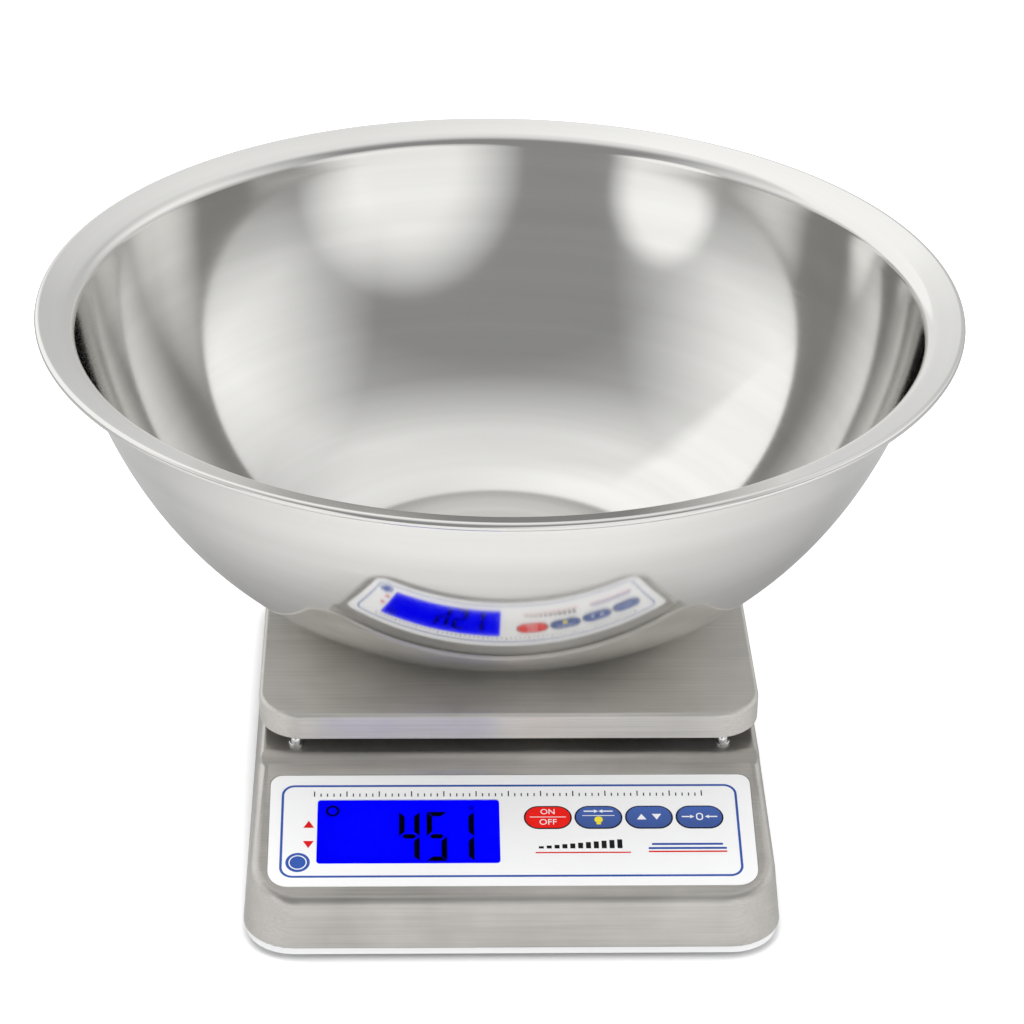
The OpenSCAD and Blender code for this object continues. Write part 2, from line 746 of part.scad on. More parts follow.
module chassis_plate() {
    depth = chassis_rear_y - chassis_front_y;
    scale_part(dark_steel) translate([0, 0, tray_top_h]) difference() {
        translate([0, (chassis_rear_y + chassis_front_y) / 2, 0]) plate(chassis_w, depth, 6, chassis_t);
        end_bolts(fixed_x) translate([0, 0, -1]) cylinder(h = chassis_t + 2, r = bolt_r + seat_gap, $fn = 32);
        at_chassis_screws() translate([0, 0, -1])
            cylinder(h = chassis_t + 2, r = screw_r + seat_gap, $fn = 24);
    }
}

module chassis_screws() {
    scale_part(dark_steel) at_chassis_screws() translate([0, 0, foot_h])
        screw_up(screw_r, tray_floor - screw_head_h + chassis_t, screw_head_r, screw_head_h);
}

module foot_inserts() {
    scale_part(brass) at_feet() translate([0, 0, foot_h + 0.2])
        ring(insert_r, foot_stem_d / 2 + run_gap, boss_top_h - foot_h - 0.2, 48);
}

module foot(side, y) {
    sole = foot_h - free_gap;
    sole_r = foot_d / 2;
    stem_r = foot_stem_d / 2;
    profile = [[0, 0], [sole_r - 1.2, 0], [sole_r, 0.8], [sole_r, sole - 0.4], [sole_r - 0.5, sole],
        [stem_r, sole], [stem_r, boss_top_h - 1], [stem_r - 0.8, boss_top_h - 0.2], [0, boss_top_h - 0.2]];
    scale_part(rubber_black) translate([side * foot_x, y, 0]) rotate_extrude($fn = 64) polygon(profile);
}

module foot_front_left() foot(-1, foot_front_y);
module foot_front_right() foot(1, foot_front_y);
module foot_rear_left() foot(-1, foot_rear_y);
module foot_rear_right() foot(1, foot_rear_y);

// Display and keys

module front_label() {
    scale_part(label_white) on_panel() difference() {
        translate([0, label_start + label_d / 2, -recess]) label_outline(0, label_t);
        translate([-window_x, window_v, -recess - 1]) plate(window_w, window_d, 1.6, label_t + 2);
        at_keys() translate([0, 0, -recess - 1]) pill(key_w + 2 * key_gap, key_d + 2 * key_gap, label_t + 2);
    }
}

module display_window() {
    scale_part([0.6, 0.7, 1]) on_panel() translate([-window_x, window_v, -recess])
        plate(window_w, window_d, 1.6, label_t);
}

module lcd_glass() {
    scale_part(display_blue) on_panel() translate([-window_x, window_v, -glass_top - glass_t])
        block(window_w + 2 * glass_margin, window_d + 2 * glass_margin, glass_t);
}

module lcd_backlight() {
    scale_part(plastic_white) on_panel() translate([-window_x, window_v, -board_top])
        block(window_w + 2 * glass_margin, window_d + 2 * glass_margin, backlight_t);
}

module key(shade, k) {
    stem_r = 2;
    pad_low = recess + 1.1;
    scale_part(shade) on_panel() translate([key_x + k * key_pitch, key_v, 0]) {
        translate([0, 0, -pad_low]) pill(key_w, key_d, pad_low - recess + label_t + key_rise - 0.2);
        translate([0, 0, key_rise - 0.31]) pill(key_w - 0.5, key_d - 0.5, 0.21);
        translate([0, 0, -key_depth]) cylinder(h = key_depth - pad_low + 0.1, r = stem_r, $fn = 32);
    }
}

module key_power() key(key_red, 0);
module key_unit() key(key_blue, 1);
module key_set() key(key_blue, 2);
module key_tare() key(key_blue, 3);

module tactile_switches() {
    plunger_h = 1;
    scale_part(dark_steel) on_panel() at_keys() {
        translate([0, 0, -board_top]) block(switch_w, switch_w, switch_h - plunger_h);
        translate([0, 0, -board_top + switch_h - plunger_h - 0.1])
            cylinder(h = plunger_h + 0.1, r = 1.7, $fn = 32);
    }
}

module at_board_screws() {
    for (side = [-1, 1], y = [board_start + 4, board_start + board_d - 4])
        translate([side * board_screw_x, y, 0]) children();
}

module main_board() {
    scale_part(board_green) on_panel() difference() {
        translate([0, board_start + board_d / 2, -board_top - board_t]) plate(board_w, board_d, 2, board_t);
        at_board_screws() translate([0, 0, -board_top - board_t - 1])
            cylinder(h = board_t + 2, r = 1.6, $fn = 24);
    }
}

module board_standoffs() {
    scale_part(dark_steel) on_panel() at_board_screws() translate([0, 0, -board_top])
        ring(2.8, 1.5, board_top - body_sheet - seat_gap, 24);
}

module board_screws() {
    scale_part(dark_steel) on_panel() at_board_screws() translate([0, 0, -board_top - board_t - 1.8])
        screw_up(1.45, board_t + 3, 2.8, 1.8);
}

// Connectors under the board, for the load cell and for the power
connector_h = 5;
connector_x = [-30, 40];
connector_v = board_start + board_d - 8;
connector_low = -board_top - board_t - connector_h;

module board_connectors() {
    scale_part(plastic_white) on_panel()
        for (x = connector_x)
            translate([x, connector_v, connector_low]) block(10, 6, connector_h);
}

// Cables inside the housing

function cross3(a, b) = [a[1] * b[2] - a[2] * b[1], a[2] * b[0] - a[0] * b[2], a[0] * b[1] - a[1] * b[0]];
function unit3(a) = a / norm(a);

// Direction of a route at point i
function heading(route, i) =
    unit3(route[min(i + 1, len(route) - 1)] - route[max(i - 1, 0)]);

// A tube along the points of a route, closed at both ends
module tube(route, r, sides = 8) {
    rings = [for (i = [0:len(route) - 1])
        let (
            d = heading(route, i),
            u = unit3(cross3(d, [0.31, 0.17, 0.93])),
            w = cross3(d, u)
        )
        for (k = [0:sides - 1]) route[i] + r * (cos(360 * k / sides) * u + sin(360 * k / sides) * w)];
    last = (len(route) - 1) * sides;
    walls = [for (i = [0:len(route) - 2], k = [0:sides - 1])
        let (a = i * sides + k, b = i * sides + (k + 1) % sides)
        each [[a, b, b + sides], [a, b + sides, a + sides]]];
    ends = [[for (k = [sides - 1:-1:0]) k], [for (k = [0:sides - 1]) last + k]];
    polyhedron(points = rings, faces = concat(walls, ends), convexity = 4);
}

// Directions up the panel's slope and out of the panel
panel_up = [0, cos(panel_slope), sin(panel_slope)];
panel_out = [0, -sin(panel_slope), cos(panel_slope)];

// Where a cable enters a connector
function connector_end(x) = [x, front_y, front_h] + connector_v * panel_up + connector_low * panel_out;

cell_cable_end = connector_end(connector_x[0]);
power_cable_end = connector_end(connector_x[1]);

module load_cell_cable() {
    start = [-cell_l / 2, 0, cell_low_h + cell_h / 2];
    scale_part(rubber_black)
        tube([start, start + [-4, 0, 0], start + [-8, -3, 0], start + [-10, -10, 0], [-76, -40, 24],
            [-70, -60, 22], [-55, -80, 22], [-38, -100, 24], cell_cable_end - 8 * panel_out + [-2, 8, 0],
            cell_cable_end - 4 * panel_out, cell_cable_end], 2);
}

module power_cable() {
    inward = [0, -cos(wall_draft), -sin(wall_draft)];
    start = [-inlet_x, rear_y - lean(inlet_h), inlet_h] + (inlet_l - seat_gap) * inward;
    scale_part(rubber_black)
        tube([start, start + 4 * inward, start + [-4, -14, 0], [-91, 40, 30], [-91, 0, 30], [-90, -60, 28],
            [-75, -90, 16], [-30, -105, 14], [20, -105, 18], power_cable_end - 9 * panel_out + [-3, 8, 0],
            power_cable_end - 4 * panel_out, power_cable_end], 1.6);
}

// Power inlet in the rear wall

inlet_l = 20;
inlet_flange_t = 2;
inlet_nut_t = 3;

// At the power inlet: z out of the wall, from its outer face
module on_rear_wall() {
    translate([-inlet_x, rear_y - lean(inlet_h), inlet_h]) rotate([wall_draft - 90, 0, 0]) children();
}

module power_inlet() {
    socket_l = 11;
    scale_part(rubber_black) on_rear_wall() translate([0, 0, seat_gap]) {
        difference() {
            union() {
                cylinder(h = inlet_flange_t, r = inlet_d / 2 + 2, $fn = 48);
                translate([0, 0, -inlet_l]) cylinder(h = inlet_l + 1, d = inlet_d, $fn = 48);
            }
            translate([0, 0, inlet_flange_t - socket_l])
                cylinder(h = socket_l + 1, d = inlet_bore_d, $fn = 40);
        }
        translate([0, 0, inlet_flange_t - socket_l - 1]) cylinder(h = socket_l - 1, d = 2, $fn = 24);
    }
}

module inlet_nut() {
    low = -body_sheet - inlet_nut_t - seat_gap;
    scale_part(dark_steel) on_rear_wall() translate([0, 0, low]) difference() {
        cylinder(h = inlet_nut_t, r = inlet_d / 2 + 2.6, $fn = 6);
        translate([0, 0, -1]) cylinder(h = inlet_nut_t + 2, d = inlet_d, $fn = 48);
    }
}

// Batteries

module battery_box() {
    scale_part(plastic_white) translate([0, box_y, 0]) difference() {
        union() {
            translate([0, 0, tray_top_h]) plate(box_flange_w, box_flange_d, 5, box_floor);
            translate([0, 0, tray_top_h]) plate(box_w, box_d, 3, box_top_h - tray_top_h);
            for (side = [-1, 1])
                translate([side * door_screw_x, 0, tray_top_h]) cylinder(h = 9, r = 4, $fn = 32);
        }
        translate([0, 0, tray_top_h - 1]) plate(box_in_w, box_in_d, 2, box_top_h - tray_top_h - box_wall + 1);
        for (side = [-1, 1])
            translate([side * door_screw_x, 0, tray_top_h - 1])
                cylinder(h = 8.5, r = door_screw_r + run_gap, $fn = 32);
    }
}

function battery_row_y(row) = box_y + row * (battery_d + cell_gap) / 2;

module battery_cells() {
    terminal = 1.4;
    for (side = [-1, 1], row = [-1, 1])
        scale_part([0.75, 0.6, 0.25])
            translate([side * (battery_l / 2 + 1.5), battery_row_y(row), battery_mid_h])
                rotate([0, 90 * row, 0]) {
                    translate([0, 0, -battery_l / 2]) cylinder(h = battery_l, d = battery_d, $fn = 48);
                    translate([0, 0, battery_l / 2 - 0.1]) cylinder(h = terminal, d = 6, $fn = 24);
                }
}

module battery_contacts() {
    plate_t = 0.5;
    scale_part(dark_steel)
        for (side = [-1, 1], row = [-1, 1])
            translate([side * (box_in_w / 2 - plate_t), battery_row_y(row), battery_mid_h])
                rotate([0, -90 * side, 0]) {
                    block(14, 18, plate_t);
                    translate([0, 0, plate_t - 0.1]) cylinder(h = 1.2, r1 = 5, r2 = 2, $fn = 24);
                }
}

module battery_door() {
    scale_part(plastic_white) translate([0, box_y, foot_h]) difference() {
        plate(door_w, box_d, 4, door_t);
        for (side = [-1, 1])
            translate([side * door_screw_x, 0, -1])
                cylinder(h = door_t + 2, r = door_screw_r + run_gap, $fn = 32);
    }
}

module door_seal() {
    scale_part(rubber_black) translate([0, box_y, foot_h + door_t]) difference() {
        plate(box_w - 1, box_d - 1, 3, door_seal_t);
        translate([0, 0, -1]) plate(box_w - 7, box_d - 7, 1.5, door_seal_t + 2);
    }
}

module door_screw(side) {
    scale_part(steel) translate([side * door_screw_x, box_y, foot_h - door_head_h]) difference() {
        screw_up(door_screw_r, door_t + door_seal_t + 6.5, door_head_r, door_head_h);
        translate([0, 0, -1]) block(2 * door_head_r + 1, 1.2, 1.7);
    }
}

module door_screw_left() door_screw(-1);
module door_screw_right() door_screw(1);

bowl();
platform_pan();
platform_studs();
platform_pads();
platform_spider();
spider_bolts();
load_column();
live_end_bolts();
load_cell();
load_cell_spacer();
fixed_end_bolts();
column_boot();
stop_screws();
stop_nuts();
top_housing();
housing_standoffs();
housing_screws();
housing_seal();
bottom_tray();
chassis_plate();
chassis_screws();
foot_inserts();
foot_front_left();
foot_front_right();
foot_rear_left();
foot_rear_right();
front_label();
display_window();
lcd_glass();
lcd_backlight();
key_power();
key_unit();
key_set();
key_tare();
tactile_switches();
main_board();
board_standoffs();
board_screws();
board_connectors();
load_cell_cable();
power_cable();
power_inlet();
inlet_nut();
battery_box();
battery_cells();
battery_contacts();
battery_door();
door_seal();
door_screw_left();
door_screw_right();
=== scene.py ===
import json
import math

import bmesh
import bpy
from mathutils import Matrix, Vector


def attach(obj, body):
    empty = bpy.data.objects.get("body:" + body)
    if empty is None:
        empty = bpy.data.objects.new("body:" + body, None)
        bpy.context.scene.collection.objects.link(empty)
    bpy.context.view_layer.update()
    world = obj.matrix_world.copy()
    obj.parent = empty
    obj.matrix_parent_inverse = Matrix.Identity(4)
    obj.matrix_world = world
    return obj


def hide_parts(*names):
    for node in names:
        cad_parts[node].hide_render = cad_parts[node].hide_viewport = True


# A weighing scale with a bowl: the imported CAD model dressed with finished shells, printing and materials.
# Sizes in the dictionaries are millimetres and degrees, and everything in the scene is metres.

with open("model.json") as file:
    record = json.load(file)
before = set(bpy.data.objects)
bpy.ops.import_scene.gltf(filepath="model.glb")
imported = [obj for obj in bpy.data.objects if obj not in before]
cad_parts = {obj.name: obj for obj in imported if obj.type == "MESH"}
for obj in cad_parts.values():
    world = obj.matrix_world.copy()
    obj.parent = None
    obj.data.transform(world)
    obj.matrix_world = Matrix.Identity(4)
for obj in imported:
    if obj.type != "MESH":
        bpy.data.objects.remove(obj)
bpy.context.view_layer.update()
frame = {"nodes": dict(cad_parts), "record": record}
nodes = frame["nodes"]
bodyOf = {node: body for body, members in frame["record"]["behaviour"]["bodies"].items() for node in members}
mm = 0.001
print("scale: frame loaded with", len(nodes), "nodes")

# Where the CAD model has its pan, deck and sloping panel, seen from the bowl's axis
layout = {"panX": 3.3, "panY": -11.5, "deck": 53.7, "step": 3.98, "panelFront": -185.0, "panelLow": 31.0,
          "panelFrom": 8.1, "panelTo": 77.0}
panMiddle = Vector((layout["panX"], layout["panY"], 0.0)) * mm
panelSlope = math.atan2(layout["deck"] - layout["step"] - layout["panelLow"], layout["panelTo"] - layout["panelFrom"])
panelPlace = (Matrix.Translation(panMiddle + Vector((0, layout["panelFront"], layout["panelLow"])) * mm)
              @ Matrix.Rotation(panelSlope, 4, "X"))    # x right, y up the slope, z out of the panel


# Modelling helpers

def letGo():
    if bpy.context.object and bpy.context.object.mode != "OBJECT":
        bpy.ops.object.mode_set(mode="OBJECT")
    bpy.ops.object.select_all(action="DESELECT")


def hold(piece):
    letGo()
    piece.select_set(True)
    bpy.context.view_layer.objects.active = piece


def edit(piece):
    hold(piece)
    bpy.ops.object.mode_set(mode="EDIT")


def pick(piece, kind, test):
    bpy.ops.mesh.select_mode(type=kind)
    bpy.ops.mesh.select_all(action="DESELECT")
    shape = bmesh.from_edit_mesh(piece.data)
    shape.normal_update()
    for part in {"VERT": shape.verts, "EDGE": shape.edges, "FACE": shape.faces}[kind]:
        if test(part):
            part.select_set(True)
    shape.select_flush_mode()
    bmesh.update_edit_mesh(piece.data)


def takeName(name):
    piece = bpy.context.object
    piece.name = name
    piece.data.name = name
    return piece


def settle(piece):
    hold(piece)
    bpy.ops.object.transform_apply(location=True, rotation=True, scale=True)
    return piece


def placed(piece, at, turn=0):
    piece.location = Vector((at[0], at[1], 0)) * mm
    piece.rotation_euler = (0, 0, math.radians(turn))
    return settle(piece)


def onPanel(piece):
    piece.matrix_world = panelPlace
    return settle(piece)


def copyOf(piece, name):
    copy = piece.copy()
    copy.data = piece.data.copy()
    copy.name = copy.data.name = name
    bpy.context.scene.collection.objects.link(copy)
    return copy


def joined(name, parts):
    hold(parts[0])
    for part in parts[1:]:
        part.select_set(True)
    if len(parts) > 1:
        bpy.ops.object.join()
    return takeName(name)


def useModifier(piece, kind, **settings):
    hold(piece)
    modifier = piece.modifiers.new(kind.lower(), kind)
    for key, value in settings.items():
        setattr(modifier, key, value)
    bpy.ops.object.modifier_apply(modifier=modifier.name)


def outward(piece):
    edit(piece)
    bpy.ops.mesh.select_all(action="SELECT")
    bpy.ops.mesh.remove_doubles(threshold=0.001 * mm)
    bpy.ops.mesh.normals_make_consistent(inside=False)
    letGo()
    return piece


def smooth(piece, sharp):
    # Shades smoothly across edges that turn by less than the sharp angle
    hold(piece)
    bpy.ops.object.shade_smooth_by_angle(angle=math.radians(sharp))
    useModifier(piece, "WEIGHTED_NORMAL", keep_sharp=True, weight=50)


def spun(name, profile, turns, place):
    # A profile of radius and height is drawn point by point, then turned round the upright axis
    letGo()
    points = [Vector((place[0] + r, place[1], place[2] + z)) * mm for r, z in profile]
    bpy.ops.mesh.primitive_plane_add(size=mm, location=points[0])
    piece = settle(takeName(name))
    edit(piece)
    bpy.ops.mesh.select_mode(type="VERT")
    bpy.ops.mesh.select_all(action="SELECT")
    bpy.ops.mesh.merge(type="CENTER")
    for start, end in zip(points, points[1:]):
        bpy.ops.mesh.extrude_region_move(TRANSFORM_OT_translate={"value": end - start})
    bpy.ops.mesh.select_all(action="SELECT")
    bpy.ops.mesh.remove_doubles(threshold=0.0001 * mm)
    bpy.ops.mesh.spin(steps=turns, angle=2 * math.pi, center=Vector(place) * mm, axis=(0, 0, 1))
    return outward(piece)


def mapGrinding(piece):
    # U runs the way the sheet was ground: along X, and along Y on the sides
    edit(piece)
    bpy.ops.mesh.select_all(action="SELECT")
    bpy.ops.uv.cube_project(cube_size=0.1)
    letGo()
    piece.data.uv_layers.active.name = "grinding"


def give(piece, body, material, replaced=()):
    piece.data.materials.clear()
    piece.data.materials.append(material)
    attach(piece, body)
    if replaced:
        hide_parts(*replaced)


# Flat plates and marks. A layer is how low and how high one reaches, and at is its middle.

def plate(size, layer, at=(0, 0), corner=0, steps=10, stroke=0, swell=0):
    # With a stroke it is a ring of that width, and swell rounds its upper edge
    low, high = layer
    letGo()
    bpy.ops.mesh.primitive_plane_add(size=mm, location=Vector((at[0], at[1], low)) * mm)
    piece = takeName("plate")
    piece.scale = (size[0], size[1], 1)
    settle(piece)
    edit(piece)
    bpy.ops.mesh.select_all(action="SELECT")
    if corner:
        bpy.ops.mesh.bevel(offset=corner * mm, segments=steps, affect="VERTICES")
        bpy.ops.mesh.select_all(action="SELECT")
        bpy.ops.mesh.remove_doubles(threshold=0.0001 * mm)
    bpy.ops.mesh.select_mode(type="FACE")
    bpy.ops.mesh.select_all(action="SELECT")
    if stroke:
        bpy.ops.mesh.inset(thickness=stroke * mm, depth=0)
        bpy.ops.mesh.delete(type="FACE")
        bpy.ops.mesh.select_all(action="SELECT")
    bpy.ops.mesh.extrude_region_move(TRANSFORM_OT_translate={"value": (0, 0, (high - low) * mm)})
    if swell:
        bpy.ops.mesh.region_to_loop()
        bpy.ops.mesh.bevel(offset=swell * mm, segments=4, affect="EDGES")
    return outward(piece)


def tapered(size, share, side, layer, at=(0, 0), turn=0):
    # A bar with one edge cut to a share of its length: the edge towards +y, or with side -1 the other
    piece = plate(size, layer)
    edit(piece)
    pick(piece, "VERT", lambda v: v.co.y * side > 0)
    bpy.ops.transform.resize(value=(share, 1, 1), center_override=(0, 0, 0))
    letGo()
    return placed(piece, at, turn)


def triangle(size, layer, at=(0, 0), turn=0):
    return tapered(size, 0.02, 1, layer, at, turn)


arrowShape = {"head": 1.7, "thick": 0.6, "headWide": 1.1, "headOn": 0.35}   # the last two are shares of the head


def arrow(long, layer, at=(0, 0), turn=0):
    head = arrowShape["head"]
    bar = plate((long, arrowShape["thick"]), layer, (-head / 2, 0))
    tip = triangle((head * arrowShape["headWide"], head), layer,
                   ((long - head) / 2 + head * arrowShape["headOn"], 0), -90)
    return placed(joined("arrow", [bar, tip]), at, turn)


def word(text, height, layer, at=(0, 0)):
    letGo()
    bpy.ops.object.text_add(location=(0, 0, 0))
    letters = takeName("word").data
    letters.body = text
    letters.size = height * mm
    letters.align_x = letters.align_y = "CENTER"
    letters.extrude = (layer[1] - layer[0]) / 2 * mm
    letters.resolution_u = 6
    bpy.ops.object.convert(target="MESH")
    piece = bpy.context.object
    piece.location = Vector((at[0], at[1], sum(layer) / 2)) * mm
    return settle(piece)


# Node helpers

def connect(tree, value, socket):
    if isinstance(value, bpy.types.NodeSocket):
        tree.links.new(value, socket)
    else:
        socket.default_value = value


def add(tree, kind, values=None, **settings):
    made = tree.nodes.new(kind)
    made.location = (220 * (len(tree.nodes) % 8) - 1400, 300 - 260 * (len(tree.nodes) // 8))
    for key, value in settings.items():
        setattr(made, key, value)
    for key, value in (values or {}).items():
        connect(tree, value, made.inputs[key])
    return made


def maths(tree, kind, a, b=0.0, c=0.5):
    return add(tree, "ShaderNodeMath", {0: a, 1: b, 2: c}, operation=kind).outputs[0]


def plus(tree, base, value, amount):
    # base + value * amount
    return maths(tree, "MULTIPLY_ADD", value, amount, base)


def vectorMaths(tree, kind, output, *vectors):
    return add(tree, "ShaderNodeVectorMath", dict(enumerate(vectors)), operation=kind).outputs[output]


def spread(tree, value, low, high, toLow=0.0, toHigh=1.0):
    return add(tree, "ShaderNodeMapRange", {"Value": value, "From Min": low, "From Max": high,
                                            "To Min": toLow, "To Max": toHigh}).outputs[0]


def chosen(tree, factor, a, b):
    return add(tree, "ShaderNodeMix", {"Factor": factor, "A": a, "B": b}, data_type="FLOAT").outputs[0]


def mixed(tree, factor, a, b):
    made = add(tree, "ShaderNodeMix", {"Factor": factor}, data_type="RGBA")
    for color, socket in ((a, made.inputs[6]), (b, made.inputs[7])):
        connect(tree, (*color, 1) if isinstance(color, tuple) else color, socket)
    return made.outputs[2]


def noise(tree, vector, scale, detail=2.0, rough=0.5):
    return add(tree, "ShaderNodeTexNoise", {"Vector": vector, "Scale": scale, "Detail": detail,
                                            "Roughness": rough}).outputs["Fac"]


def ownPlace(tree):
    return add(tree, "ShaderNodeTexCoord").outputs["Object"]


def axesOf(tree, vector):
    return add(tree, "ShaderNodeSeparateXYZ", {0: vector}).outputs


def vectorOf(tree, x, y, z=0.0):
    return add(tree, "ShaderNodeCombineXYZ", {0: x, 1: y, 2: z}).outputs[0]


# Node groups that several materials share

def newGroup(name, inputs, outputs):
    group = bpy.data.node_groups.new(name, "ShaderNodeTree")
    for label, value in inputs.items():
        socket = group.interface.new_socket(name=label, in_out="INPUT", socket_type="NodeSocketFloat")
        socket.default_value = value
    for label in outputs:
        group.interface.new_socket(name=label, in_out="OUTPUT", socket_type="NodeSocketFloat")
    return group, add(group, "NodeGroupInput").outputs, add(group, "NodeGroupOutput").inputs


# How far a face looks sideways before its lines run along Y; share of the scale, and detail, of each line
brushPattern = {"sideways": (0.62, 0.8), "Fine": (1.0, 2.0), "Coarse": (0.16, 3.0), "cloudDetail": 3.0}


def makeBrushGroup(look):
    # Grinding lines: along X on most faces, and along Y on the faces that look sideways
    group, ins, outs = newGroup("grindingLines", {"Lines": 2600.0, "Stretch": 70.0, "Clouds": 14.0},
                                ("Fine", "Coarse", "Cloud"))
    place = ownPlace(group)
    normal = add(group, "ShaderNodeNewGeometry").outputs["Normal"]
    sideways = spread(group, maths(group, "ABSOLUTE", axesOf(group, normal)["X"]), *look["sideways"])
    x, y, z = axesOf(group, place)
    squeeze = maths(group, "DIVIDE", 1.0, ins["Stretch"])
    across = vectorOf(group, maths(group, "MULTIPLY", x, squeeze), y, z)
    along = vectorOf(group, x, maths(group, "MULTIPLY", y, squeeze), z)
    for label in ("Fine", "Coarse"):
        share, detail = look[label]
        scale = maths(group, "MULTIPLY", ins["Lines"], share)
        pair = [noise(group, vector, scale, detail) for vector in (across, along)]
        group.links.new(chosen(group, sideways, *pair), outs[label])
    group.links.new(noise(group, place, ins["Clouds"], look["cloudDetail"]), outs["Cloud"])
    return group


polishPattern = {"turn": 0.002, "bands": 0.06}     # how far a ring strays round the bowl, and its bands' scale


def makePolishGroup(look):
    # Faint rings left by spinning and polishing a round shell about the upright axis
    group, ins, outs = newGroup("polishingRings", {"Rings": 900.0, "Clouds": 9.0}, ("Rings", "Bands", "Cloud"))
    place = ownPlace(group)
    x, y, z = axesOf(group, place)
    flat = vectorOf(group, x, y)
    radius = vectorMaths(group, "LENGTH", "Value", flat)
    slow = axesOf(group, vectorMaths(group, "NORMALIZE", 0, flat))
    rings = vectorOf(group, plus(group, radius, slow["X"], look["turn"]), plus(group, z, slow["Y"], look["turn"]))
    group.links.new(noise(group, rings, ins["Rings"]), outs["Rings"])
    group.links.new(noise(group, rings, maths(group, "MULTIPLY", ins["Rings"], look["bands"])), outs["Bands"])
    group.links.new(noise(group, place, ins["Clouds"]), outs["Cloud"])
    return group


wideRange, midRange = (0.3, 0.7), (0.35, 0.65)      # the parts of a noise's range that its values fill
grainPattern = {"grainDetail": 3.0, "marksDetail": 4.0, "rough": 0.6}


def makeGrainGroup(look):
    # Fine grain of moulded, cast or printed surfaces, with slow clouds of handling marks
    group, ins, outs = newGroup("surfaceGrain", {"Grain": 1800.0, "Marks": 40.0}, ("Grain", "Marks"))
    place = ownPlace(group)
    group.links.new(noise(group, place, ins["Grain"], look["grainDetail"], look["rough"]), outs["Grain"])
    marks = noise(group, place, ins["Marks"], look["marksDetail"], look["rough"])
    group.links.new(spread(group, marks, *wideRange), outs["Marks"])
    return group


brushGroup = makeBrushGroup(brushPattern)
polishGroup = makePolishGroup(polishPattern)
grainGroup = makeGrainGroup(grainPattern)


# Materials

ownSockets = {"metal": "Metallic", "rough": "Roughness", "ior": "IOR", "clear": "Transmission Weight",
              "shine": "Specular IOR Level", "glow": "Emission Strength", "stretch": "Anisotropic",
              "turn": "Anisotropic Rotation"}
fedSockets = {"color": "Base Color", "rough": "Roughness", "metal": "Metallic", "glow": "Emission Color",
              "tangent": "Tangent"}


def newMaterial(name, **own):
    material = bpy.data.materials.new(name)
    material.use_nodes = True
    shader = material.node_tree.nodes["Principled BSDF"]
    for key, value in own.items():
        shader.inputs[ownSockets[key]].default_value = value
    return material, material.node_tree, shader


def feed(tree, shader, **values):
    for key, value in values.items():
        tree.links.new(value, shader.inputs[fedSockets[key]])


def useGroup(tree, group, **values):
    return add(tree, "ShaderNodeGroup", values, node_tree=group).outputs


def bump(tree, shader, height, depth):
    made = add(tree, "ShaderNodeBump", {"Height": height, "Distance": depth * mm, "Strength": 1.0})
    tree.links.new(made.outputs[0], shader.inputs["Normal"])


def brushedSteel(name, look):
    # The grinding lines smear a reflection across themselves, so the piece has a map that runs along them
    material, tree, shader = newMaterial(name, metal=look["metal"], stretch=look["smear"], turn=0.25)
    lines = useGroup(tree, brushGroup, Lines=look["lines"], Stretch=look["stretch"], Clouds=look["clouds"])
    tone = plus(tree, (1 - look["fineTone"] - look["coarseTone"]) / 2, lines["Coarse"], look["coarseTone"])
    tone = plus(tree, tone, lines["Fine"], look["fineTone"])
    tone = plus(tree, tone, spread(tree, lines["Cloud"], *wideRange, -0.5, 0.5), look["cloudTone"])
    rough = plus(tree, look["rough"], spread(tree, lines["Coarse"], *wideRange), look["roughSpread"])
    rough = plus(tree, rough, spread(tree, lines["Cloud"], *midRange), look["cloudSpread"])
    feed(tree, shader, color=mixed(tree, tone, look["dark"], look["light"]), rough=rough,
         tangent=add(tree, "ShaderNodeTangent", direction_type="UV_MAP", uv_map="grinding").outputs[0])
    bump(tree, shader, plus(tree, lines["Fine"], lines["Coarse"], look["coarseDepth"]), look["depth"])
    return material


def polishedSteel(name, look):
    material, tree, shader = newMaterial(name, metal=1.0, stretch=look["smear"], turn=0.25)
    rings = useGroup(tree, polishGroup, Rings=look["rings"], Clouds=look["clouds"])
    tone = spread(tree, rings["Bands"], *wideRange)
    rough = plus(tree, look["rough"], spread(tree, rings["Cloud"], *midRange), look["roughSpread"])
    feed(tree, shader, color=mixed(tree, tone, look["dark"], look["light"]),
         rough=plus(tree, rough, rings["Rings"], look["ringRough"]),
         tangent=add(tree, "ShaderNodeTangent", direction_type="RADIAL", axis="Z").outputs[0])
    bump(tree, shader, plus(tree, rings["Rings"], rings["Bands"], look["bandDepth"]), look["depth"])
    return material


commonGrain = {"marks": 40.0, "roughSpread": 0.08, "grainRough": 0.05, "own": {}}


def grained(name, look):
    # Plastics, rubber, castings and films: two tones, a grain and slow marks
    look = {**commonGrain, **look}
    material, tree, shader = newMaterial(name, **look["own"])
    grain = useGroup(tree, grainGroup, Grain=look["grain"], Marks=look["marks"])
    rough = plus(tree, look["rough"], grain["Marks"], look["roughSpread"])
    feed(tree, shader, color=mixed(tree, grain["Marks"], look["dark"], look["light"]),
         rough=plus(tree, rough, grain["Grain"], look["grainRough"]))
    bump(tree, shader, grain["Grain"], look["depth"])
    return material


